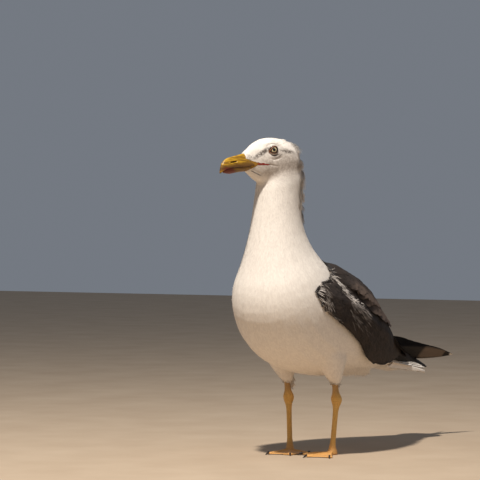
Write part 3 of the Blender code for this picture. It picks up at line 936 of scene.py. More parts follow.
def smudges(paint):
    """How grey the face is: smudges on the lore, at the bill's root and behind the eye, and painted
    shade in the folds below the eye and along the chin.
    """
    left, ahead, up = paint.head_place()
    out = left.size()
    rough = paint.noise(420.0, 3.0)
    lore = paint.spot((out, ahead, up - ahead * -0.62), (15, 18, 7.5), (14, 15, 3.9))
    front = paint.spot((out, ahead, up), (9, 35, -8.5), (10, 7, 3.2))
    back = paint.spot((out, ahead, up - ahead * 0.09), (22, -21, 1.2), (12, 15, 4.2))
    shade = (1.3 - lore).ramp(0.0, 0.9) * 0.95
    shade = shade.over((1.2 - front).ramp(0.0, 1.0) * paint.noise(700.0, 2.0).ramp(0.46, 0.58))
    shade = shade.over((1.2 - back).ramp(0.0, 1.0) * 0.85)
    shade = shade * rough.ramp(0.27, 0.56)
    from_eye = ((ahead - EYE_AHEAD) * (ahead - EYE_AHEAD)
                + (up - EYE_ABOVE) * (up - EYE_ABOVE) * 1.6) ** 0.5
    # painted shade in the two folds below the eye
    folds = (from_eye - 9.6).size().ramp(1.4, 0.4)
    folds = folds.over((from_eye - 13.0).size().ramp(1.2, 0.4) * 0.6)
    shade = shade.over(folds * (0.0 - up).ramp(3.0, 6.0) * (0.0 - ahead).ramp(-8.0, 0.0))
    # painted shade along the edge of the chin
    off_line = ((ahead - 32.0) * 0.426 - (up + 27.0) * 0.904).size().ramp(1.0, 0.3)
    on_line = 0.0 - (ahead - 32.0) * 0.904 - (up + 27.0) * 0.426
    chin = off_line * on_line.ramp(0.0, 3.0) * on_line.ramp(19.0, 13.0)
    return shade.over(chin * 0.75)


def dusk(paint):
    """How dull the white is over the cheek and the side of the throat: partly the cheek's dusky
    tone, partly painted shade.
    """
    left, ahead, up = paint.head_place()
    cheek = paint.spot((left.size(), ahead, up), (22, -8, -19), (24, 42, 21))
    mottle = paint.noise(300.0, 4.0, rough=0.65).ramp(0.32, 0.68)
    return (1.3 - cheek).ramp(0.0, 0.8) * (mottle * 0.42 + 0.36)


print("head marks ready")


# %% The white feathers
def barbs(paint, fine):
    """Fine slanting ridges off the shaft of a vane."""
    across, along, _ = paint.vane_place()
    return ((along * 1.4 - (across - 0.5).size()) * fine).wave()


def white_feathers():
    paint = Paint("white_feathers", Roughness=0.78, IOR=1.35)
    _, along, _ = paint.vane_place()
    tone = paint.attribute("tone")
    base = paint.mix(along.ramp(0.0, 0.7) * 0.5 + tone * 0.5, colour(214, 205, 196), WHITE)
    # duller cheek and throat: partly dusky tone, partly painted shade
    base = paint.mix(dusk(paint), base, DUSK_AND_SHADE)
    # grey smudges, with painted shade in the folds round the eye and along the chin
    base = paint.mix(smudges(paint), base, SMUDGE_AND_CREASE_SHADE)
    return paint.finish(base, bump=barbs(paint, 30.0), strength=0.05, distance=0.0002,
                        normal=paint.soft_normal(0.92))


def nape_feathers():
    """White tips over dark bases, partly dusky and partly painted shade between the tufts, which
    show where the nape is ruffled.
    """
    paint = Paint("nape_feathers", Roughness=0.78, IOR=1.35)
    _, along, _ = paint.vane_place()
    tone = paint.attribute("tone")
    white = paint.mix(tone, colour(196, 186, 176), WHITE)
    # dark bases: partly dusky, partly painted shade between the raised tips
    base = paint.mix(along.ramp(0.15, 0.75), colour(112, 98, 88), white)
    return paint.finish(base, bump=barbs(paint, 30.0), strength=0.05, distance=0.0002,
                        normal=paint.soft_normal(0.6))


def white_skin():
    """Skin under the coat, and the bare strip of horn that runs back to the mouth's corner."""
    paint = Paint("white_skin", Roughness=0.8)
    rough = paint.noise(900.0, 3.0)
    base = paint.mix(rough, colour(206, 197, 188), WHITE)
    # duller cheek and throat: partly dusky tone, partly painted shade
    base = paint.mix(dusk(paint), base, DUSK_AND_SHADE)
    # grey smudges, with painted shade in the folds round the eye and along the chin
    base = paint.mix(smudges(paint), base, SMUDGE_AND_CREASE_SHADE)
    _, ahead, _ = paint.head_place()
    horn = paint.mix(paint.noise(420.0, 3.0), colour(128, 88, 22), colour(168, 124, 30))
    horn = paint.mix(ahead.ramp(27.0, 21.0), horn, colour(132, 30, 18))
    base = paint.mix(paint.attribute("bare").ramp(0.3, 0.6), base, horn)
    return paint.finish(base, bump=rough, strength=0.4, distance=0.0004)


WHITE_FEATHERS = white_feathers()
WHITE_SKIN = white_skin()
NAPE_WHITE_AND_SHADE = nape_feathers()
finish_with(skin, WHITE_SKIN)
print("white feathers:", len(WHITE_FEATHERS.node_tree.nodes), "nodes")

# %% [markdown]
# ## Laying feathers with Geometry Nodes
# Thousands of feathers repeat one idea: stand at a root, turn along the lie, then
# follow the body so that the root is under the skin and the tip stands off by the
# coat's depth. One group of nodes does that for any set of roots. The coat's tree
# scatters roots over a patch of skin first.

# %% A small helper for node trees
class Nodes:
    """Adds nodes to a tree: settings first, then values or links for the sockets."""

    def __init__(self, tree):
        self.tree = tree

    def add(self, kind, sockets=None, **settings):
        node = self.tree.nodes.new(kind)
        for name, value in settings.items():
            setattr(node, name, value)
        for name, value in (sockets or {}).items():
            socket = node.inputs[name]
            if isinstance(value, bpy.types.NodeSocket):
                self.tree.links.new(value, socket)
            else:
                socket.default_value = value
        return node.outputs

    def sum(self, a, b, operation="ADD"):
        return self.add("ShaderNodeMath", {0: a, 1: b}, operation=operation)[0]

    def named(self, name, kind="FLOAT"):
        return self.add("GeometryNodeInputNamedAttribute", {"Name": name}, data_type=kind)[0]

    def between(self, low, high, seed):
        return self.add("FunctionNodeRandomValue", {2: low, 3: high, "Seed": seed},
                        data_type="FLOAT")[1]

    def stored(self, geometry, name, value, kind="FLOAT", domain="POINT"):
        return self.add("GeometryNodeStoreNamedAttribute", {
            "Geometry": geometry, "Name": name, "Value": value},
            data_type=kind, domain=domain)[0]


def new_tree(name, inputs):
    """An empty Geometry Nodes tree with a geometry in, a geometry out and named inputs."""
    tree = bpy.data.node_groups.new(name, "GeometryNodeTree")
    tree.interface.new_socket("Geometry", in_out="INPUT", socket_type="NodeSocketGeometry")
    tree.interface.new_socket("Geometry", in_out="OUTPUT", socket_type="NodeSocketGeometry")
    for label, kind in inputs:
        tree.interface.new_socket(label, in_out="INPUT", socket_type="NodeSocket" + kind)
    return tree


print("helper for node trees ready")


# %% The group that lays feathers on their roots
ROOT_SINK = 0.25          # depth of a root under the skin, as a share of the tip's height
UV_PATCH = 0.003          # a feather's patch in the baked unwrap
LAY_INPUTS = (("Guide", "Object"), ("Vanes", "Collection"), ("Finish", "Material"),
              ("Seed", "Int"), ("Settle", "Float"))

lay = new_tree("lay_feathers", LAY_INPUTS)
n = Nodes(lay)
given = n.add("NodeGroupInput")
shapes = n.add("GeometryNodeCollectionInfo", {"Collection": given["Vanes"],
               "Separate Children": True, "Reset Children": True})["Instances"]
turn = n.add("FunctionNodeAxesToRotation", {0: n.named("out", "FLOAT_VECTOR"),
             1: n.named("lie", "FLOAT_VECTOR")}, primary_axis="Z", secondary_axis="Y")[0]
swing = n.sum(n.between(-1.0, 1.0, given["Seed"]), n.named("wild"), "MULTIPLY")
swing = n.add("ShaderNodeCombineXYZ", {"Z": swing})[0]
swing = n.add("FunctionNodeEulerToRotation", {0: swing})[0]
turn = n.add("FunctionNodeRotateRotation", {0: turn, 1: swing}, rotation_space="LOCAL")[0]
bigger = n.between(0.82, 1.18, n.sum(given["Seed"], 1))
size = n.add("ShaderNodeCombineXYZ", {
    "X": n.sum(n.named("wide"), bigger, "MULTIPLY"),
    "Y": n.sum(n.named("long"), bigger, "MULTIPLY"), "Z": 1.0})[0]
pick = n.add("FunctionNodeRandomValue", {4: 0, 5: 2, "Seed": n.sum(given["Seed"], 2)},
             data_type="INT")[2]
roots = n.stored(given["Geometry"], "tone", n.between(0.0, 1.0, n.sum(given["Seed"], 3)))
uneven = n.sum(n.between(-1.0, 1.0, n.sum(given["Seed"], 4)), n.named("wild"), "MULTIPLY")
high = n.sum(n.named("rise"), n.sum(uneven, 1.0), "MULTIPLY")
roots = n.stored(roots, "rise", high)
placed = n.add("GeometryNodeInstanceOnPoints", {
    "Points": roots, "Instance": shapes, "Pick Instance": True, "Instance Index": pick,
    "Rotation": turn, "Scale": size})[0]
real = n.add("GeometryNodeRealizeInstances", {"Geometry": placed})[0]

guide = n.add("GeometryNodeObjectInfo", {"Object": given["Guide"]},
              transform_space="ORIGINAL")["Geometry"]
near = n.add("GeometryNodeProximity", {0: guide}, target_element="FACES")["Position"]
outward = n.add("GeometryNodeSampleNearestSurface", {
    "Mesh": guide, "Value": n.named("out", "FLOAT_VECTOR")}, data_type="FLOAT_VECTOR")["Value"]
outward = n.add("ShaderNodeVectorMath", {0: outward}, operation="NORMALIZE")[0]
mark = n.named("vane", "FLOAT_VECTOR")
along = n.add("ShaderNodeSeparateXYZ", {0: mark})["Y"]
edge = n.add("ShaderNodeSeparateXYZ", {0: mark})["Z"]
climb = n.sum(n.sum(along, 1.2, "POWER"), 1 + ROOT_SINK, "MULTIPLY")
settled = n.sum(along, n.sum(2.9, n.sum(along, 1.85, "MULTIPLY"), "SUBTRACT"), "MULTIPLY")
climb = n.add("ShaderNodeMix", {0: given["Settle"], 2: climb, 3: settled}, data_type="FLOAT")[0]
climb = n.sum(climb, ROOT_SINK, "SUBTRACT")
climb = n.sum(n.sum(n.named("rise"), climb, "MULTIPLY"), edge)
reach = n.add("ShaderNodeVectorMath", {0: outward, "Scale": climb}, operation="SCALE")[0]
spot = n.add("ShaderNodeVectorMath", {0: near, 1: reach}, operation="ADD")[0]
straight = n.add("ShaderNodeVectorMath", {0: n.add("GeometryNodeInputPosition")[0], 1: reach},
                 operation="ADD")[0]
spot = n.add("ShaderNodeMix", {0: n.named("free"), 4: spot, 5: straight}, data_type="VECTOR")[1]
real = n.add("GeometryNodeSetPosition", {"Geometry": real, "Position": spot})[0]
real = n.stored(real, "soft", outward, "FLOAT_VECTOR")
spread = n.add("ShaderNodeVectorMath", {0: mark, 1: (0.5, 0.5, 0.0)}, operation="SUBTRACT")[0]
spread = n.add("ShaderNodeVectorMath", {0: spread, "Scale": UV_PATCH}, operation="SCALE")[0]
baked_at = n.add("ShaderNodeVectorMath", {0: n.named("root", "FLOAT_VECTOR"), 1: spread},
                 operation="ADD")[0]
real = n.stored(real, BAKE_MAP, baked_at, "FLOAT2", "CORNER")
real = n.add("GeometryNodeSetMaterial", {"Geometry": real, "Material": given["Finish"]})[0]
n.add("NodeGroupOutput", {"Geometry": real})


def lay_on(n, given, roots):
    """Ends a tree with the group above, on some roots and with the tree's own inputs."""
    values = {label: given[label] for label, _ in LAY_INPUTS}
    laid = n.add("GeometryNodeGroup", {"Geometry": roots, **values}, node_tree=lay)
    n.add("NodeGroupOutput", {"Geometry": laid[0]})


print("lay_feathers:", len(lay.nodes), "nodes")

# %% The coat's tree
coat_tree = new_tree("coat", LAY_INPUTS + (("Patch", "Int"), ("Spacing", "Float")))
n = Nodes(coat_tree)
given = n.add("NodeGroupInput")
here = n.add("FunctionNodeCompare", {2: n.named("patch", "INT"), 3: given["Patch"]},
             data_type="INT", operation="EQUAL")[0]
ground = n.add("GeometryNodeSeparateGeometry", {0: given["Geometry"], 1: here}, domain="FACE")[0]
thick = n.sum(4.0, n.sum(given["Spacing"], given["Spacing"], "MULTIPLY"), "DIVIDE")
scattered = n.add("GeometryNodeDistributePointsOnFaces", {
    "Mesh": ground, "Distance Min": given["Spacing"], "Density Max": thick,
    "Seed": given["Seed"]}, distribute_method="POISSON")["Points"]
scattered = n.stored(scattered, "root", n.named(BAKE_MAP, "FLOAT_VECTOR"), "FLOAT_VECTOR")
lay_on(n, given, scattered)


def grown(name, ground_mesh, tree, values):
    """A plain mesh of what the tree grows on ground_mesh."""
    obj = new_object(name, ground_mesh.copy())
    grow = obj.modifiers.new("grow", "NODES")
    grow.node_group = tree
    for item in tree.interface.items_tree:
        if item.item_type == "SOCKET" and item.in_out == "INPUT" and item.name in values:
            grow[item.identifier] = values[item.name]
    baked(obj)
    for extra in ("lie", "out", "root", "long", "wide", "rise", "wild", "free", "bare", "patch"):
        if extra in obj.data.attributes:
            obj.data.attributes.remove(obj.data.attributes[extra])
    obj.data.calc_loop_triangles()
    print(name, len(obj.data.loop_triangles), "triangles")
    return obj


# %% Growing the white coat
COATS = (                 # name, patch, spacing in mm
    ("face_coat", FACE_PATCH, 0.80),
    ("crown_coat", CROWN, 0.98),
    ("neck_coat", NECK, 1.3),
    ("chest_coat", CHEST, 1.45),
    ("breast_coat", BREAST, 1.5),
    ("flank_coat", FLANK, 1.5),
    ("back_coat", BACK, 2.0),
    ("thigh_coat", THIGHS, 1.4),
)
coats = []
for number, (name, which, spacing) in enumerate(COATS):
    coats.append(grown(name, skin.data, coat_tree, {
        "Guide": form, "Vanes": lance_vanes, "Finish": WHITE_FEATHERS, "Seed": 10 * number,
        "Settle": 1.0, "Patch": which, "Spacing": spacing * MM}))

# %% [markdown]
# ## The folded wings
# Grey coverts lie in staggered rows over the folded wing, small at the wrist and
# larger towards the tail, and the scapulars hang over them from the back like
# tiles. The places of their roots are worked out row by row, by casting rays at
# the wing's shell, and the same nodes then lay a feather on each. Scattering them
# would be less work, but would lose the rows.

# %% The wings' edges and shells
WING_TOP = ((86, 236), (60, 246), (20, 240), (-10, 236), (-40, 232), (-85, 227), (-130, 201),
            (-175, 169), (-222, 143))         # (forward, height)
WING_BOTTOM = ((86, 214), (65, 192), (35, 173), (5, 155), (-25, 138), (-55, 125), (-85, 120),
               (-150, 121), (-222, 127))
RIGHT_LOWER = 8.0         # the right wing's lower edge hangs this much deeper in front
scapular_shell = wing_shell("scapular_shell", ("scapulars_l", "scapulars_r"))
cover_shell = wing_shell("cover_shell", ("wing_l", "wing_r"))
for guide in (shell, scapular_shell, cover_shell):
    set_attribute(guide.data, "out", normals(guide.data), "FLOAT_VECTOR")
unwrap(shell)
skin_tree, form_tree = tree_of(skin), tree_of(form)
print("covert shell:", len(cover_shell.data.polygons), "faces, scapular shell:",
      len(scapular_shell.data.polygons))


# %% Collecting roots
def surface_towards(tree, start, aim):
    """Where a ray from start to aim meets the surface, and the way out of it there."""
    spot, out, _, _ = tree.ray_cast(start, (aim - start).normalized())
    return spot, out


class Roots:
    """Collects feather roots, then makes a mesh of them that the trees can read."""

    def __init__(self):
        keys = ("at", "out", "lie", "long", "wide", "rise", "wild", "pale", "free")
        self.rows = {key: [] for key in keys}

    def put(self, at, out, lie, long, wide, rise, wild=0.06, pale=0.0, free=0.0):
        flat = (lie - out * lie.dot(out)).normalized()
        values = (at, out, flat, long * MM, wide * MM, rise * MM, wild, pale, free)
        for key, value in zip(self.rows, values):
            self.rows[key].append(value)

    def mesh(self, name, ground):
        """The roots as loose corners, with each one's place in the ground's unwrap."""
        made = bpy.data.meshes.new(name)
        made.from_pydata([tuple(p) for p in self.rows["at"]], [], [])
        for key in ("out", "lie"):
            set_attribute(made, key, np.array(self.rows[key]), "FLOAT_VECTOR")
        for key in ("long", "wide", "rise", "wild", "pale", "free"):
            set_attribute(made, key, np.array(self.rows[key]))
        found = tree_of(ground)
        unwrap_at = ground.data.uv_layers[BAKE_MAP].data
        spots = []
        for at in self.rows["at"]:
            _, _, index, _ = found.find_nearest(at)
            loops = ground.data.loop_triangles[index].loops
            spots.append(sum((unwrap_at[k].uv for k in loops), Vector((0, 0))) / 3)
        set_attribute(made, "root", np.array([(*uv, 0) for uv in spots]), "FLOAT_VECTOR")
        return made

    def __len__(self):
        return len(self.rows["at"])


print("each root holds:", ", ".join(Roots().rows))


# %% Rows of coverts and scapulars
SLOPE = ((-230, 25), (-150, 33), (-100, 42), (-50, 57), (0, 60), (40, 52), (70, 44), (90, 38))
COVERT_SIZES = ((-88, 9), (-60, 12), (0, 20), (60, 30), (120, 38), (220, 44))
SCAPULAR_SIZES = ((-60, 15), (-20, 24), (40, 34), (128, 40))     # (backward, length)
ROW_STEP = 0.30           # from row to row, as a share of a feather's length
COVERT_STEP = 0.24        # from covert to covert in a row
SCAPULAR_STEP = 0.115     # degrees round the body for each mm of length
UNEVEN = 0.12             # how far a covert strays from its place in the row
SCAPULARS_IN_ROW = 26


def wing_slope(sign, forward, share):
    """The lie of coverts: steeply down in the middle of the wing, less along its top."""
    down = math.radians(line_at(SLOPE, forward) * (1 - 0.45 * share))
    return Vector((-sign * 0.08, math.cos(down), -math.sin(down)))


def put_coverts(roots, side, sign):
    """Rows from the wrist to the tail, each from the wing's lower edge up to its top."""
    tree = tree_of(cover_shell)
    forward, row = 88.0, 0
    while forward > -212:
        size = line_at(COVERT_SIZES, -forward)
        low, high = line_at(WING_BOTTOM, forward), line_at(WING_TOP, forward)
        if side == "r":
            low -= RIGHT_LOWER * smooth_step(90, 40, forward)
            low += RIGHT_LOWER * smooth_step(20, -50, forward)
        count = max(3, round((high - low) / (size * COVERT_STEP)))
        for k in range(count + 1):
            share = (k + 0.5 * (row % 2) + rng.uniform(-UNEVEN, UNEVEN)) / count
            at_height = low + 1.5 + (high - low - 1.5) * share
            at_forward = forward + rng.uniform(-UNEVEN, UNEVEN) * size
            spot, out = surface_towards(tree, place(sign * 200, at_forward, at_height),
                                        place(0, at_forward, at_height))
            if spot is None or forward > 60 and skin_tree.find_nearest(spot)[3] < 1.5 * MM:
                continue                      # off the wing, or under the breast
            lie_here = wing_slope(sign, at_forward, min(max(share, 0), 1))
            hanging = 0.12 * smooth_step(0.16, 0.0, share)
            roots.put(spot, out, lie_here, size * rng.uniform(0.9, 1.1), size * 0.42, 1.6,
                      free=hanging)
        forward -= size * ROW_STEP
        row += 1


def put_scapulars(roots, sign):
    """Rows down the back, each fanned from the back's middle round to the side."""
    tree = tree_of(scapular_shell)
    forward, row = 54.0, 0
    while forward > -128:
        size = line_at(SCAPULAR_SIZES, -forward)
        axis = place(0, forward, 185 + 0.18 * min(forward, 0))
        hits = []
        for k in range(SCAPULARS_IN_ROW):
            turn = math.radians(-4 + (k + 0.5 * (row % 2)) * size * SCAPULAR_STEP)
            out_there = axis + Vector((sign * math.sin(turn), 0, math.cos(turn))) * 0.2
            spot, out = surface_towards(tree, out_there, axis)
            if spot is not None and turn < math.radians(100):
                hits.append((turn, spot, out))
        for k, (turn, spot, out) in enumerate(hits):
            down = -0.34 - 0.5 * math.sin(turn) * smooth_step(60, 20, forward)
            lie_here = Vector((sign * 0.12, 1, down))
            last = smooth_step(0.62, 0.95, (k + 1) / len(hits))     # 1 on the lowest feathers
            last *= smooth_step(40, 10, forward)
            roots.put(spot, out, lie_here, size * rng.uniform(0.88, 1.1) * (1 + 0.1 * last),
                      size * 0.46, 2.4 + 2.4 * last, pale=0.5 * last, free=0.08 * last)
        forward -= size * ROW_STEP
        row += 1


wing_roots = {}
for side, sign in SIDES:
    wing_roots[side] = Roots()
    put_coverts(wing_roots[side], side, sign)
    covers = len(wing_roots[side])
    put_scapulars(wing_roots[side], sign)
    print("wing", side, covers, "coverts and", len(wing_roots[side]) - covers, "scapulars")

# %% The tree for rows
rows_tree = new_tree("rows", LAY_INPUTS)
n = Nodes(rows_tree)
given = n.add("NodeGroupInput")
dots = n.add("GeometryNodeMeshToPoints", {"Mesh": given["Geometry"]}, mode="VERTICES")["Points"]
lay_on(n, given, dots)


def laid_rows(name, roots, ground, guide, shapes, finish, seed):
    """A plain mesh with one feather on each root."""
    return grown(name, roots.mesh("roots", ground), rows_tree, {
        "Guide": guide, "Vanes": shapes, "Finish": finish, "Seed": seed})


print("rows:", len(rows_tree.nodes), "nodes")

# %% [markdown]
# ## Grey vanes
# The mantle of this gull is a dark slate grey, here painted darker and browner
# still with painted shade. Each vane is finely streaked along its barbs, has a dark
# shaft and slightly brown worn edges, and the lowest scapulars end in a paler tip.
# The streaks are a noise stretched along the vane, so they follow every feather
# whichever way it lies.

# %% The grey feathers' material
# slate grey, darkened and browned with painted shade
SHADED_SLATE_DARK, SHADED_SLATE = colour(30, 26, 25), colour(48, 42, 40)


def grey_feathers():
    """Slate-grey vanes, darkened and browned with painted shade, with fine streaks, brown edges,
    and a paler tip where asked for.
    """
    paint = Paint("grey_feathers", Roughness=0.7, IOR=1.3)
    across, along, _ = paint.vane_place()
    tone, pale = paint.attribute("tone"), paint.attribute("pale")
    rim = (across - 0.5).size().ramp(0.34, 0.50).over(along.ramp(0.90, 1.0))
    shaft = (0.035 - (across - 0.5).size()).ramp(0.0, 0.035)
    wear = paint.noise(60.0, 4.0, rough=0.6).ramp(0.44, 0.66)
    hair = paint.noise(1.0, 3.0, vector=paint.vector(across * 16.0, along * 1.1, tone * 37.0))
    base = paint.mix(tone, SHADED_SLATE_DARK, SHADED_SLATE)
    base = paint.mix(hair.ramp(0.50, 0.72) * 0.45, base, colour(96, 84, 76))
    base = paint.mix(rim * 0.20, base, colour(104, 91, 82))
    base = paint.mix(wear * 0.35, base, colour(62, 50, 42))
    base = paint.mix(shaft * 0.6, base, SHADED_SLATE_DARK)
    base = paint.mix(along.ramp(0.45, 0.95) * pale.ramp(0.0, 0.5) * 0.6, base, colour(108, 92, 82))
    base = paint.mix(along.ramp(0.90, 0.95) * pale.ramp(0.7, 1.0), base, colour(222, 214, 204))
    return paint.finish(base, bump=hair, strength=0.30, distance=0.0004)


GREY_FEATHERS = grey_feathers()
print("grey feathers:", len(GREY_FEATHERS.node_tree.nodes), "nodes")

# %% [markdown]
# ## Loose barbs over the wing
# Where white feathers meet the grey wing they don't end in a clean line. A white
# band of hair-thin barbs runs along the wing's upper edge, greyer ones hang below
# it, brown ones cover the wrist, and the breast's last feathers lap over the
# wing's front. Each group follows a line of its own, (left, forward, height).

# %% Loose barbs
BAND = ((50, 62, 268), (60, 52, 254), (68, 44, 243), (76, 34, 229), (81, 24, 219), (82, 4, 213),
        (79, -20, 208))
FRONT = ((66, 74, 240), (72, 74, 228), (75, 73, 214), (74, 66, 200))
LAPPED = ((50, 66, 264), (58, 78, 252), (64, 87, 238), (68, 88, 222), (68, 82, 206), (64, 68, 192),
          (60, 50, 180))
FRAYS = (                 # group, line, how many, spread, steepness, length, paleness
    ("edge", BAND, 300, 2.6, 0.45, 14.0, 1.0),
    ("below", BAND, 190, 14.0, 1.1, 18.0, 0.25),
    ("wrist", FRONT, 240, 6.0, 1.2, 14.0, 0.12),
    ("breast", LAPPED, 420, 2.5, 0.5, 11.0, 0.75),
)


def frayed_feathers():
    """Loose white barbs over the wing, greyer where they thin out."""
    paint = Paint("frayed_feathers", Roughness=0.75)
    _, along, _ = paint.vane_place()
    tone, pale = paint.attribute("tone"), paint.attribute("pale")
    base = paint.mix(pale, colour(84, 72, 64), colour(226, 218, 210))
    base = paint.mix(tone * 0.35 + (1.0 - along) * 0.3, base, colour(150, 138, 128))
    return paint.finish(base)


def along_line(line, share):
    """A point at a share of the way along a line of points, and the line's course there."""
    at = min(share * (len(line) - 1), len(line) - 1.001)
    first, second = Vector(line[int(at)]), Vector(line[int(at) + 1])
    return first.lerp(second, at % 1.0), second - first


def frayed_roots(sign):
    """Roots of all four groups on one wing."""
    roots = Roots()
    for group, line, count, spread, steep, size, pale in FRAYS:
        for _ in range(count):
            if group == "edge":               # thickest at the front
                share = rng.beta(1.0, 2.0)
            else:
                share = rng.uniform(0.3 if group == "below" else 0, 1)
            spot, course = along_line(line, share)
            drop = -abs(rng.normal(6, spread)) if group == "below" else rng.normal(0, spread)
            start = place(sign * spot.x, spot.y + rng.normal(0, 3), spot.z + drop)
            at, out, _, _ = wing_tree.find_nearest(start)
            lie = Vector((sign * course.x, -course.y, course.z)).normalized()
            lie += Vector((0, 0.5, -steep))
            shade = float(np.clip(pale + rng.normal(0, 0.16), 0, 1))
            if group == "breast":
                lie = Vector((-sign * out.y * 0.2, 1.0, -0.75))
            roots.put(at, out, lie, size * rng.uniform(0.6, 1.2), rng.uniform(0.3, 0.8),
                      rng.uniform(2.2, 3.8), wild=0.2, pale=shade, free=0.15)
    return roots


FRAYED = frayed_feathers()
print("loose barbs on each wing:", sum(row[2] for row in FRAYS))

# %% [markdown]
# ## Hanging and ruffled feathers
# Behind each thigh the belly's longest feathers hang loose, and a breeze from
# behind lifts those of the nape. Both are roots like the others, with a higher
# rise and less hold on the body, so their tips stand free.

# %% Thigh feathers and the ruffled nape
TROUSERS = ((44, -8, 108), (45, -30, 110), (44, -52, 112), (40, -72, 115), (34, -86, 118))
TROUSER_FEATHERS = 520    # behind each thigh
NAPE_TUFTS = 420
NAPE_LOW, NAPE_LENGTH = 338, 84               # the lowest tufts' height, and from there up
NAPE_AROUND = 78          # degrees to each side of the neck's back


def loose_white(sign):
    """Loose feathers that hang behind the thigh."""
    roots = Roots()
    for _ in range(TROUSER_FEATHERS):
        spot, _ = along_line(TROUSERS, rng.uniform(0, 1))
        start = place(sign * spot.x, spot.y + rng.normal(0, 3), spot.z + rng.normal(0, 5))
        at, out, _, _ = form_tree.find_nearest(start)
        roots.put(at, out, Vector((0, 0.75, -1)), rng.uniform(12, 24), rng.uniform(0.9, 2.0),
                  rng.uniform(2, 6.5), wild=0.22, free=0.4)
    return roots


def ruffled_nape():
    """Tufts that stand out from the back of the head and down the nape."""
    roots = Roots()
    for _ in range(NAPE_TUFTS):
        level = rng.uniform(0, 1)
        turn = math.radians(rng.uniform(-NAPE_AROUND, NAPE_AROUND))
        axis = place(0, 58 + 4 * level, NAPE_LOW + NAPE_LENGTH * level)
        around = Vector((math.sin(turn), math.cos(turn), 0.0))
        spot, out = surface_towards(form_tree, axis + around * 0.15, axis)
        if spot is None:
            continue
        lie = Vector((rng.normal(0, 0.25), 0.5 + 0.4 * level, -1.0))
        roots.put(spot, out, lie, rng.uniform(7, 12), rng.uniform(1.3, 2.4),
                  rng.uniform(2.5, 6.0), wild=0.16, free=0.5)
    return roots


print("loose feathers:", 2 * TROUSER_FEATHERS, "at the thighs,", NAPE_TUFTS, "on the nape")

# %% Growing the wings' coats and the loose feathers
wing_coats, frays, trousers = {}, {}, {}
for number, (side, sign) in enumerate(SIDES):
    wing_coats[side] = laid_rows("wing_coat_" + side, wing_roots[side], shell, shell,
                                 broad_vanes, GREY_FEATHERS, 200 + 10 * number)
    frays[side] = laid_rows("frayed_coat_" + side, frayed_roots(sign), shell, shell,
                            lance_vanes, FRAYED, 240 + 10 * number)
    trousers[side] = laid_rows("loose_coat_" + side, loose_white(sign), skin, form,
                               lance_vanes, WHITE_FEATHERS, 280 + 10 * number)
nape_tufts = laid_rows("nape_tufts", ruffled_nape(), skin, form, lance_vanes, NAPE_WHITE_AND_SHADE, 320)

shell.name = "wing_bed"
bed_paint = Paint("wing_bed", Roughness=0.8)
# the same slate grey, darkened and browned with painted shade
bed_colour = bed_paint.mix(bed_paint.noise(300.0, 3.0), SHADED_SLATE_DARK, SHADED_SLATE)
finish_with(shell, bed_paint.finish(bed_colour))

# %% [markdown]
# ## Long feathers
# Flight feathers, tertials and tail feathers are long thin blades with a shaft and
# a bow of their own. They are few, and each has its own place, so they are built
# one by one from cross-sections instead of by a tree of nodes.

# %% Long feathers
LONG_ROWS = 16            # cross-sections along a long feather
LONG_HALF = 0.22          # half its thickness in the middle
CUP = 0.8                 # how far its rims hang below its middle
SHAFT_HALF = 0.35         # how far the shaft stands out at the root


class Blades:
    """Collects long feathers into one mesh, with a vane place on every corner."""

    def __init__(self):
        self.points, self.faces, self.marks, self.pale = [], [], [], []

    def put(self, root, tip, wide, up, bow=0.0, point=0.45, pale=0.0):
        """One blade from root to tip, its flat side facing up; point is the share of
        its length that narrows to the tip."""
        along = (tip - root).normalized()
        side = along.cross(up).normalized()
        out = side.cross(along)
        start = len(self.points)
        shares = (-1.0, -0.6, -0.08, 0.0, 0.08, 0.6, 1.0)
        ring = [(u, 1.0) for u in shares] + [(u, -1.0) for u in shares[-2:0:-1]]
        length = (tip - root).length
        for row in range(LONG_ROWS):
            t = (row / (LONG_ROWS - 1)) ** 0.85
            grow = min(1.0, 0.45 + 2.2 * t)
            close = 1 - max(0.0, (t - (1 - point)) / point) ** 2.6
            half = wide / 2 * grow * max(close, 0.03)
            centre = root.lerp(tip, t) + out * bow * math.sin(math.pi * t) * MM
            for u, face in ring:
                shaft = SHAFT_HALF * max(0.0, 1 - abs(u) / 0.09) * (1 - t)
                lift = face * (LONG_HALF * (1 - u * u) + shaft) - CUP * u * u
                self.points.append(centre + side * u * half * MM + out * lift * MM)
                self.marks.append((0.5 + 0.5 * u, t, length / MM))
                self.pale.append(pale)
        count = len(ring)
        for row in range(LONG_ROWS - 1):
            at = start + count * row
            for k in range(count):
                after = (k + 1) % count
                self.faces.append((at + k, at + after, at + count + after, at + count + k))
        self.faces.append(tuple(start + k for k in reversed(range(count))))
        last = start + count * (LONG_ROWS - 1)
        self.faces.append(tuple(last + k for k in range(count)))

    def made(self, name, finish):
        obj = object_from(name, self.points, self.faces)
        face_outwards(obj)
        set_attribute(obj.data, "vane", np.array(self.marks), "FLOAT_VECTOR")
        set_attribute(obj.data, "pale", np.array(self.pale))
        set_attribute(obj.data, "tone", rng.uniform(0, 1) + np.zeros(len(self.points)))
        finish_with(obj, finish)
        shade_smooth(obj)
        print(name, len(obj.data.polygons), "faces")
        return obj


print("cross-sections of a long feather:", LONG_ROWS)

# %% [markdown]
# ## Flight feathers and tertials
# The black flight feathers of each hand are stacked, the longest lowest, so that
# each tip shows beyond the one above it. The right hand crosses over the tail from
# its own side. The tertials, long grey feathers of the inner wing, cover the hands'
# roots.

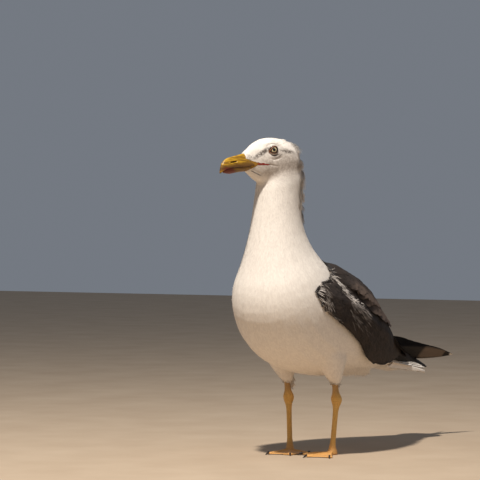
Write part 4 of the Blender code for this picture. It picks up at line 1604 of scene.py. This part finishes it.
# %% Flight feathers
def black_feathers():
    """Black blades, with a white tip and, where asked for, a white mirror before it, painted
    grey-brown with painted shade.
    """
    paint = Paint("black_feathers", Roughness=0.6, IOR=1.3)
    across, along, length = paint.vane_place()
    from_tip = (1.0 - along) * length
    pale = paint.attribute("pale")
    brown = paint.noise(90.0, 3.0)
    base = paint.mix(brown, colour(17, 14, 14), colour(34, 28, 26))
    tip = (from_tip + (across - 0.5).size() * 6.0 - 7.0).ramp(2.5, 0.0)
    base = paint.mix(tip * pale.ramp(0.1, 0.4), base, colour(232, 226, 218))
    # the white mirror, painted grey-brown with painted shade
    patch = from_tip.ramp(17.0, 21.0) * from_tip.ramp(68.0, 60.0) * pale.ramp(0.8, 1.0)
    base = paint.mix(patch, base, colour(104, 90, 78))
    return paint.finish(base, bump=barbs(paint, 160.0), strength=0.3, distance=0.0004)


BLACK_FEATHERS = black_feathers()
HANDS = {                 # root, tip, width, lean of each hand's stack, and its layers' step
    "l": ((26, -150, 137), (-3, -331, 105), 19, 62.0, 0.8),
    "r": ((-14, -165, 139), (33, -343, 126), 38, -44.0, 2.0),
}
HAND_REACH = (1.0, 0.975, 0.89, 0.79, 0.68, 0.58)    # reach of each feather, longest first
HAND_PALE = (0.5, 0.5, 0.2, 0.2, 0.2, 0.2)           # over 0.1 a white tip, from 0.8 a white mirror painted grey-brown with painted shade
hands = {}
for side, sign in SIDES:
    root, tip, wide, lean, layer = HANDS[side]
    start, end = place(*root), place(*tip)
    along = (end - start).normalized()
    edge = Matrix.Rotation(math.radians(lean), 3, along) @ along.cross(UP).normalized()
    up = edge.cross(along)
    blades = Blades()
    for number, (reach, pale) in enumerate(zip(HAND_REACH, HAND_PALE)):
        over = (number - 1.5) * layer
        across = wide * (0.14 - 0.07 * number) * sign
        root_at = start + (edge * across * 1.3 + up * over) * MM
        tip_at = start.lerp(end, reach) + (edge * across * (1.2 - reach) + up * over * 0.7) * MM
        blades.put(root_at, tip_at, wide * (0.78 - 0.03 * number), up, bow=4.0, point=0.5,
                   pale=1.0 if side == "r" and number == 0 else pale)
    hands[side] = blades.made("flight_feathers_" + side, BLACK_FEATHERS)

# %% Tertials
TERTIALS = 6
tertials = {}
for side, sign in SIDES:
    blades = Blades()
    up = Vector((sign * 0.62, 0.2, 0.76)).normalized()
    for number in range(TERTIALS):
        share = number / (TERTIALS - 1)       # 0 for the shortest, 1 for the longest
        start = wing_tree.find_nearest(place(sign * 46, -122 - 14 * share, 176 - 20 * share))[0]
        end = wing_tree.find_nearest(
            place(sign * (30 - 6 * share), -204 - 16 * share, 146 - 12 * share))[0]
        end = end + (end - start).normalized() * (6 + 24 * share) * MM + up * 2.4 * MM
        blades.put(start + up * 0.8 * MM, end, 22, up, bow=1.5, point=0.34,
                   pale=1.0 if number > 3 else 0.6)
    tertials[side] = blades.made("tertials_" + side, GREY_FEATHERS)

# %% [markdown]
# ## The tail
# The white tail feathers fan out in pairs from the middle one, with a second layer
# of shorter ones over their roots. Thin blades alone would show gaps from below,
# so a bed cut from the tail's own solid lies under them, and short coverts cover
# the bed's underside.

# %% Tail feathers
TAIL_PAIRS = 5            # beside the middle feather
TAIL_TIP = (-276, 114.2)  # (forward, height) of the middle feather's tip
LAYER_BACK = 34           # how much shorter the upper layer is


def tail_white():
    paint = Paint("tail_feathers", Roughness=0.7)
    base = paint.mix(paint.noise(120.0, 3.0), colour(222, 212, 202), WHITE)
    return paint.finish(base, bump=barbs(paint, 160.0), strength=0.3, distance=0.0004)


TAIL_WHITE = tail_white()
blades = Blades()
for pair in range(TAIL_PAIRS + 1):
    for sign in ((1,) if pair == 0 else (1, -1)):
        spread = sign * pair / TAIL_PAIRS
        droop = 4.6 * spread * spread
        lean = Vector((0.42 * spread, 0.22, 1)).normalized()
        for layer in range(2):
            reach = LAYER_BACK * layer
            end = place(24.5 * spread, reach + TAIL_TIP[0] + 3.5 * spread * spread,
                        TAIL_TIP[1] + 0.14 * reach - droop - 0.4 * pair)
            start = place(9 * spread, -160, 138 - droop - 1.4 * pair)
            blades.put(start, end, 17 + 2 * layer, lean, bow=1.0, point=0.22 + 0.1 * layer)
tail = blades.made("tail_feathers", TAIL_WHITE)

# %% The tail's bed and the coverts under it
BED_LENGTH = 0.91         # of the solid's, so that the blades reach beyond it
BED_DROP = 1.6
UNDER_ROWS, UNDER_COLUMNS = 10, 11
tail_bed = joined_copy("tail_bed", ("tail",))
remeshed(tail_bed, 0.8, 6)
points = corners(tail_bed.data)
tail_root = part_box("tail")[0].y
points[:, 1] = tail_root + (points[:, 1] - tail_root) * BED_LENGTH
points[:, 2] -= BED_DROP * MM
set_corners(tail_bed.data, points)
unwrap(tail_bed)
set_attribute(tail_bed.data, "out", normals(tail_bed.data), "FLOAT_VECTOR")
under = Roots()
tail_tree = tree_of(tail_bed)
for row in range(UNDER_ROWS):
    forward = -182 - 8.5 * row
    for column in range(UNDER_COLUMNS):
        share = (column - 5 + 0.5 * (row % 2)) / 5.5
        left = share * (19 + 1.2 * row) + rng.normal(0, 0.5)
        spot, out = surface_towards(tail_tree, place(left, forward, 60), place(left, forward, 120))
        if spot is not None:
            under.put(spot, out, Vector((0.22 * share, 1, 0)), rng.uniform(22, 30), 8.5, 1.3)
under_tail = laid_rows("under_tail", under, tail_bed, tail_bed, broad_vanes, WHITE_FEATHERS, 340)
finish_with(tail_bed, TAIL_WHITE)

# %% [markdown]
# ## The bill
# The bill's two halves keep the solids' shape, remeshed finely enough for a slit
# nostril to be pressed into the upper one, and drawn in a little along the mouth,
# which leaves a dark line between them. The yellow horn is streaked and darker
# towards its root, with a painted highlight along its top, painted shade low on its
# sides, along the mouth and in the nostril, and a red patch near the tip of the
# lower half.

# %% Bill halves
BEAK_VOXEL = 0.55
NOSTRIL = ((55.5, -15.4), (64.5, -17.0))      # (forward, up) of the slit's ends
MOUTH_CLOSE = 0.42        # how far each half draws back from the mouth


def horn():
    """Yellow horn with brown streaks, darker towards the root, a painted highlight along the top,
    painted shade low on the sides, along the mouth and in the nostril, and a red patch near the
    tip.
    """
    paint = Paint("bill_horn", Roughness=0.34, IOR=1.5)
    left, ahead, up = paint.head_place()
    grain = paint.noise(330.0, 4.0, rough=0.6)
    streak = paint.noise(1.0, 3.0, vector=paint.vector(ahead * 0.05, up * 0.45, left * 0.2))
    base = paint.mix(streak.ramp(0.38, 0.62), colour(124, 88, 18), colour(184, 142, 32))
    # painted highlight along the top of the bill
    ridge = (up + ahead * 0.34 - 9.5).ramp(0.0, 5.0)
    base = paint.mix(ridge * 0.7, base, colour(216, 176, 64))
    # painted shade low on the bill's sides
    base = paint.mix((0.0 - up - ahead * 0.13).ramp(13.0, 17.0) * 0.55, base, colour(104, 72, 28))
    # painted shade along the mouth's line
    low = (0.0 - up - ahead * 0.13 - 14.6).size().ramp(4.6, 0.6)
    base = paint.mix(low * 0.85, base, colour(84, 54, 24))
    root = ahead.ramp(48.0, 30.0)
    base = paint.mix(root * grain.ramp(0.30, 0.6) * 0.7, base, colour(112, 80, 34))
    # painted shadow inside the nostril's slit
    slit = paint.spot((left.size(), ahead, up + (ahead - 60) * 0.17), (5, 60, -16.2), (9, 5.0, 1.0))
    base = paint.mix((1.15 - slit).ramp(0.0, 0.4), base, colour(34, 20, 12))
    red = paint.spot((left, ahead, up), (0, 67.0, -28.4), (9, 11.5, 5.6))
    red = red + (grain - 0.5) * 0.5
    base = paint.mix((1.2 - red).ramp(0.0, 0.5) * 0.9, base, colour(108, 30, 18))
    tip = paint.spot((left, ahead, up), (0, 80.5, -32.5), (6, 2.2, 2.0))
    base = paint.mix((1.1 - tip).ramp(0.0, 0.5), base, colour(70, 40, 20))
    return paint.finish(base, roughness=grain * 0.22 + 0.24, bump=grain, strength=0.25,
                        distance=0.0006)


def nostril_cut(points):
    """Presses the nostril's slit into each side of the upper half."""
    places = in_head(points)
    start, end = np.array(NOSTRIL[0]), np.array(NOSTRIL[1])
    step = (end - start) / np.linalg.norm(end - start)
    away = places[:, 1:] - start
    at = np.clip(away @ step, 0, np.linalg.norm(end - start))
    gap = np.linalg.norm(away - at[:, None] * step, axis=1)
    sink = 1.7 * smooth_step(1.1, 0.5, gap) - 0.25 * bell(gap, 1.8, 0.6)
    sink *= smooth_step(0.8, 2.2, np.abs(places[:, 0]))
    return points - side_of(points) * sink[:, None] * MM


HORN = horn()
beak = {}
for half, close in (("bill_upper", -MOUTH_CLOSE), ("bill_lower", MOUTH_CLOSE)):
    beak[half] = joined_copy(half.replace("bill", "beak"), (half,))
    remeshed(beak[half], BEAK_VOXEL, 5)
    points = corners(beak[half].data)
    places = in_head(points)
    off_mouth = np.abs(places[:, 2] - line_at(MOUTH, places[:, 1]))
    points = points + np.array(UP) * (close * smooth_step(3.0, 0.6, off_mouth))[:, None] * MM
    if half == "bill_upper":
        points = nostril_cut(points)
    set_corners(beak[half].data, points)
    finish_with(beak[half], HORN)
    shade_smooth(beak[half])
    print(half, len(beak[half].data.polygons), "faces")

# %% [markdown]
# ## The eyes
# A pale yellow iris rings the black pupil. The ball is one wet glossy sphere whose
# colours are painted by the distance from the way it looks, with painted shade on
# the ball beyond the iris, where the lids overhang it. Two thin fleshy tubes
# follow the lids' edge: a reddish-brown ring of bare skin and, inside it, the dark
# wet rim that gives the eye its outline.

# %% Eyeballs
GAZE_FORWARD = 0.33       # how far the pupil looks forward, as a share of sideways
PUPIL, IRIS = 2.3, 4.1    # radii over the eyeball
BLACK = (0.002, 0.002, 0.002, 1)


def gaze(sign):
    """The way an eye looks."""
    return (LEFT * sign + FACE * GAZE_FORWARD).normalized()


def ball(name, centre, radius, axis):
    """A sphere whose poles lie on an axis."""
    bm = bmesh.new()
    bmesh.ops.create_uvsphere(bm, u_segments=48, v_segments=28, radius=radius * MM)
    turn = axis.to_track_quat("Z", "Y").to_matrix().to_4x4()
    bmesh.ops.transform(bm, matrix=Matrix.Translation(centre) @ turn, verts=bm.verts)
    made = object_of(name, bm)
    shade_smooth(made)
    return made


def eye_paint(side, axis):
    """A wet pale-yellow iris round a black pupil, with painted shade beyond the iris, where the
    lids overhang the ball.
    """
    paint = Paint("iris_" + side, Roughness=0.08, IOR=1.4, Coat_Weight=1.0, Coat_Roughness=0.02)
    turned = paint.node("ShaderNodeMapping", {"vector_type": "TEXTURE"}, {
        "Vector": paint.place(), "Location": eye_at[side],
        "Rotation": axis.to_track_quat("Z", "Y").to_euler(), "Scale": (MM, MM, MM)})
    x, y, _ = paint.axes(turned)
    from_axis = (x * x + y * y) ** 0.5
    streaks = paint.noise(1400.0, 3.0)
    iris = paint.mix(streaks, colour(224, 204, 146), colour(248, 238, 202))
    iris = paint.mix(from_axis.ramp(IRIS - 1.3, IRIS), iris, colour(96, 76, 36))
    look = paint.mix(from_axis.ramp(PUPIL + 0.12, PUPIL - 0.12), iris, BLACK)
    # painted shade on the ball beyond the iris, where the lids overhang it
    look = paint.mix(from_axis.ramp(IRIS, IRIS + 0.4), look, colour(26, 17, 12))
    return paint.finish(look)


print("an eye is", round(2 * EYE_RADIUS, 1), "mm across")


# %% The lids' two tubes
def on_lids(side, sign, turn, wider):
    """A place on the lids' edge, wider times its size, and the way out of the eye there."""
    ahead = OPEN_HALF[0] * wider * math.cos(turn)
    share = max(0.0, ahead / OPEN_HALF[0])
    level = OPEN_HALF[1] * wider * math.sin(turn) - OPEN_DROOP * min(share, 1.3) ** 3
    out = FACE * (ahead + OPEN_MIDDLE) + UP * level
    depth_there = math.sqrt(max(1.0, (EYE_RADIUS + 0.3) ** 2 - out.length ** 2))
    spot = eye_at[side] + (out + LEFT * sign * depth_there) * MM
    return spot, (spot - eye_at[side]).normalized()


RING_TURNS, RING_ROUND = 72, 8                # corners along a lid tube and round it


def lid_tube(name, side, sign, wider, half_wide, half_deep, finish):
    """A closed fleshy tube that follows the lids' edge."""
    points = []
    for k in range(RING_TURNS):
        turn = 2 * math.pi * k / RING_TURNS
        centre, out = on_lids(side, sign, turn, wider)
        after = on_lids(side, sign, turn + 0.02, wider)[0]
        across = (after - centre).normalized().cross(out)
        swell = 1 + 0.14 * math.sin(turn * 17) + rng.uniform(-0.08, 0.08)
        for j in range(RING_ROUND):
            b = 2 * math.pi * j / RING_ROUND
            away = across * math.cos(b) * half_wide + out * math.sin(b) * half_deep
            points.append(centre + away * swell * MM)
    faces = []
    for k in range(RING_TURNS):
        here, after = k * RING_ROUND, ((k + 1) % RING_TURNS) * RING_ROUND
        for j in range(RING_ROUND):
            beyond = (j + 1) % RING_ROUND
            faces.append((here + j, here + beyond, after + beyond, after + j))
    tube = object_from(name, points, faces)
    face_outwards(tube)
    shade_smooth(tube)
    finish_with(tube, finish)
    return tube


def lid_paint(name, first, second, rough):
    """Wet skin between two colours."""
    paint = Paint(name, Roughness=rough)
    return paint.finish(paint.mix(paint.noise(900.0, 2.0), first, second))


RING = lid_paint("orbital_ring", colour(104, 66, 46), colour(150, 98, 66), 0.5)
DARK_LID = lid_paint("lid_edge", colour(26, 16, 12), colour(54, 32, 22), 0.35)
eyes, lids = {}, []
for side, sign in SIDES:
    axis = gaze(sign)
    eyes[side] = ball("eyeball_" + side, eye_at[side], EYE_RADIUS - 0.05, axis)
    finish_with(eyes[side], eye_paint(side, axis))
    lids.append(lid_tube("orbital_ring_" + side, side, sign, 1.03, 0.75, 0.50, RING))
    lids.append(lid_tube("lid_edge_" + side, side, sign, 0.88, 0.62, 0.40, DARK_LID))
print("eyes made, with", len(lids), "lid tubes")

# %% [markdown]
# ## Legs, feet and claws
# The bare legs are ochre-yellow and scaly, with a thick ankle. Each leg and foot
# is joined into one skin, so no seam shows where they meet. The scales are cells of
# a Voronoi pattern, which also drives their bump. The claws keep the solids' shape
# and are rounded by subdivision.

# %% Legs and feet
LEG_VOXEL = 0.9
ANKLE_HEIGHT = 0.078      # the middle of the thick ankle, in metres
ANKLE_SWELL = 1.5


def rounded(name, nodes):
    """Welded copies of solids, smoothed by subdivision."""
    made = joined_copy(name, nodes)
    smooth = made.modifiers.new("round", "SUBSURF")
    smooth.levels = smooth.render_levels = 1
    baked(made)
    shade_smooth(made)
    return made


def leg_skin():
    """Ochre scales, pinker on the webs and browner above the ankle."""
    paint = Paint("leg_skin", Roughness=0.45, IOR=1.45)
    _, _, z = paint.axes(paint.place())
    cells = paint.node("ShaderNodeTexVoronoi", {"feature": "DISTANCE_TO_EDGE"},
                       {"Vector": paint.place(), "Scale": 620.0})
    rough = paint.noise(140.0, 3.0)
    base = paint.mix(rough, colour(214, 158, 74), colour(240, 196, 112))
    base = paint.mix(z.ramp(0.020, 0.004) * 0.6, base, colour(226, 162, 98))
    base = paint.mix(z.ramp(0.078, 0.090) * 0.6, base, colour(150, 116, 84))
    base = paint.mix((1.0 - cells * 9.0).ramp(0.2, 0.9) * 0.35, base, colour(128, 82, 30))
    return paint.finish(base, bump=(cells * 6.0).under(0.6), strength=0.5, distance=0.0006)


def claw_horn():
    paint = Paint("claw_horn", Roughness=0.35)
    base = paint.mix(paint.noise(500.0), colour(36, 30, 27), colour(58, 48, 42))
    return paint.finish(base)


LEG_SKIN = leg_skin()
CLAW_HORN = claw_horn()
legs, claws = {}, {}
for side in "lr":
    legs[side] = joined_copy("leg_skin_" + side, ("leg_" + side, "foot_" + side))
    remeshed(legs[side], LEG_VOXEL, 4)
    spots, out = corners(legs[side].data), normals(legs[side].data)
    swell = 0.45 * smooth_step(0.016, 0.030, spots[:, 2])
    swell = swell + ANKLE_SWELL * bell(spots[:, 2], ANKLE_HEIGHT, 0.0065)
    set_corners(legs[side].data, spots + out * (swell * MM)[:, None])
    finish_with(legs[side], LEG_SKIN)
    shade_smooth(legs[side])
    toes = ["claw_" + toe + "_" + side for toe in ("inner", "middle", "outer")]
    claws[side] = rounded("claws_" + side, toes)
    finish_with(claws[side], CLAW_HORN)
    print("leg", side, len(legs[side].data.polygons), "faces")

# %% [markdown]
# ## Putting the gull together
# Every piece rides on the one still body. The skin and coat stand in for the
# solids of flesh, the wing pieces for those of the wings, and so on, and the
# pieces are grouped under the name of the material slot of what they stand for.

# %% What each piece stands for
for guide in (form, scapular_shell, cover_shell):
    bpy.data.objects.remove(guide)
for shapes in (lance_vanes, broad_vanes):
    for leaf in list(shapes.objects):
        bpy.data.objects.remove(leaf)
    bpy.data.collections.remove(shapes)

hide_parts(*FLESH)
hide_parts(*WINGS)
for side in "lr":
    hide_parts("primaries_" + side)
    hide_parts("eye_" + side)
    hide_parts("leg_" + side, "foot_" + side)
    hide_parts(*["claw_" + toe + "_" + side for toe in ("inner", "middle", "outer")])
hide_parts("tail")
for half, piece in beak.items():
    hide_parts(half)
slots = {
    "white_plumage": [skin, tail, tail_bed, under_tail, nape_tufts, *coats, *trousers.values()],
    "grey_plumage": [shell, *wing_coats.values(), *frays.values(), *tertials.values()],
    "black_plumage": hands.values(),
    "bill_horn": beak.values(),
    "pale_iris": [*eyes.values(), *lids],
    "leg_skin": legs.values(),
    "claw_horn": claws.values(),
}
for slot, pieces in slots.items():
    for piece in pieces:
        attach(piece, "root")
print("pieces:", sum(len(pieces) for pieces in slots.values()))

# %% [markdown]
# ## Floor, light and camera
# The gull stands on a plain pale floor. The key light is small, high, in front and
# a little to the left, so the head throws a soft-edged shadow on the neck. A large
# weak fill from the other side and a pale blue sky keep the shadows open.

# %% The stage
FLOOR_HALF = 6.0
bm = bmesh.new()
bmesh.ops.create_grid(bm, x_segments=1, y_segments=1, size=FLOOR_HALF)
floor = object_of("floor", bm)
floor_paint = Paint("floor", Roughness=0.9)
floor_colour = floor_paint.mix(floor_paint.noise(9.0, 5.0), colour(172, 150, 126),
                               colour(196, 176, 152))
finish_with(floor, floor_paint.finish(floor_colour))
floor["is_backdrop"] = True

TOWARD = Vector((0.574, -0.819, 0)).normalized()     # from the bird to the camera
ACROSS = Vector((0.819, 0.574, 0)).normalized()      # to the right in the camera's view
VIEW_DISTANCE = 3.1
VIEW_HALF = 0.336         # half of what the camera sees, at the bird
VIEW_SIDE, VIEW_HEIGHT = -0.099, 0.311
BODY_MIDDLE = Vector((0, -0.0805, 0))
LIT_MIDDLE = Vector((0, -0.03, 0.22))
camera = new_object("camera", bpy.data.cameras.new("camera"))
camera.location = BODY_MIDDLE + TOWARD * VIEW_DISTANCE + ACROSS * VIEW_SIDE + UP * VIEW_HEIGHT
aim = -TOWARD - UP * 0.0042
camera.rotation_euler = aim.to_track_quat("-Z", "Y").to_euler()
camera.data.angle = 2 * math.atan(VIEW_HALF / VIEW_DISTANCE)
bpy.context.scene.camera = camera


def soft_light(name, direction, distance, size, power, tint):
    """A square light at a distance in a direction, facing the bird's middle."""
    lamp = bpy.data.lights.new(name, "AREA")
    lamp.size = size
    lamp.energy = power
    lamp.color = tint
    made = new_object(name, lamp)
    away = direction.normalized()
    made.location = LIT_MIDDLE + away * distance
    made.rotation_euler = (-away).to_track_quat("-Z", "Y").to_euler()


soft_light("key", TOWARD * 0.62 - ACROSS * 0.27 + UP * 1.14, 2.4, 0.14, 79.0, (1.0, 0.94, 0.86))
soft_light("fill", TOWARD * 0.7 + ACROSS * 0.8 + UP * 0.35, 2.8, 1.8, 1.5, (0.95, 0.96, 1.0))
world = bpy.data.worlds.new("studio")
bpy.context.scene.world = world
world.use_nodes = True
sky = world.node_tree.nodes["Background"].inputs
sky["Color"].default_value = (0.58, 0.64, 0.74, 1)
sky["Strength"].default_value = 0.30
bpy.context.scene.view_settings.view_transform = "Standard"
print("camera", round(camera.location.length, 2), "m from the part's origin")

low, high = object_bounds()
print("visual box in mm:", [round(v / MM, 1) for v in high - low])
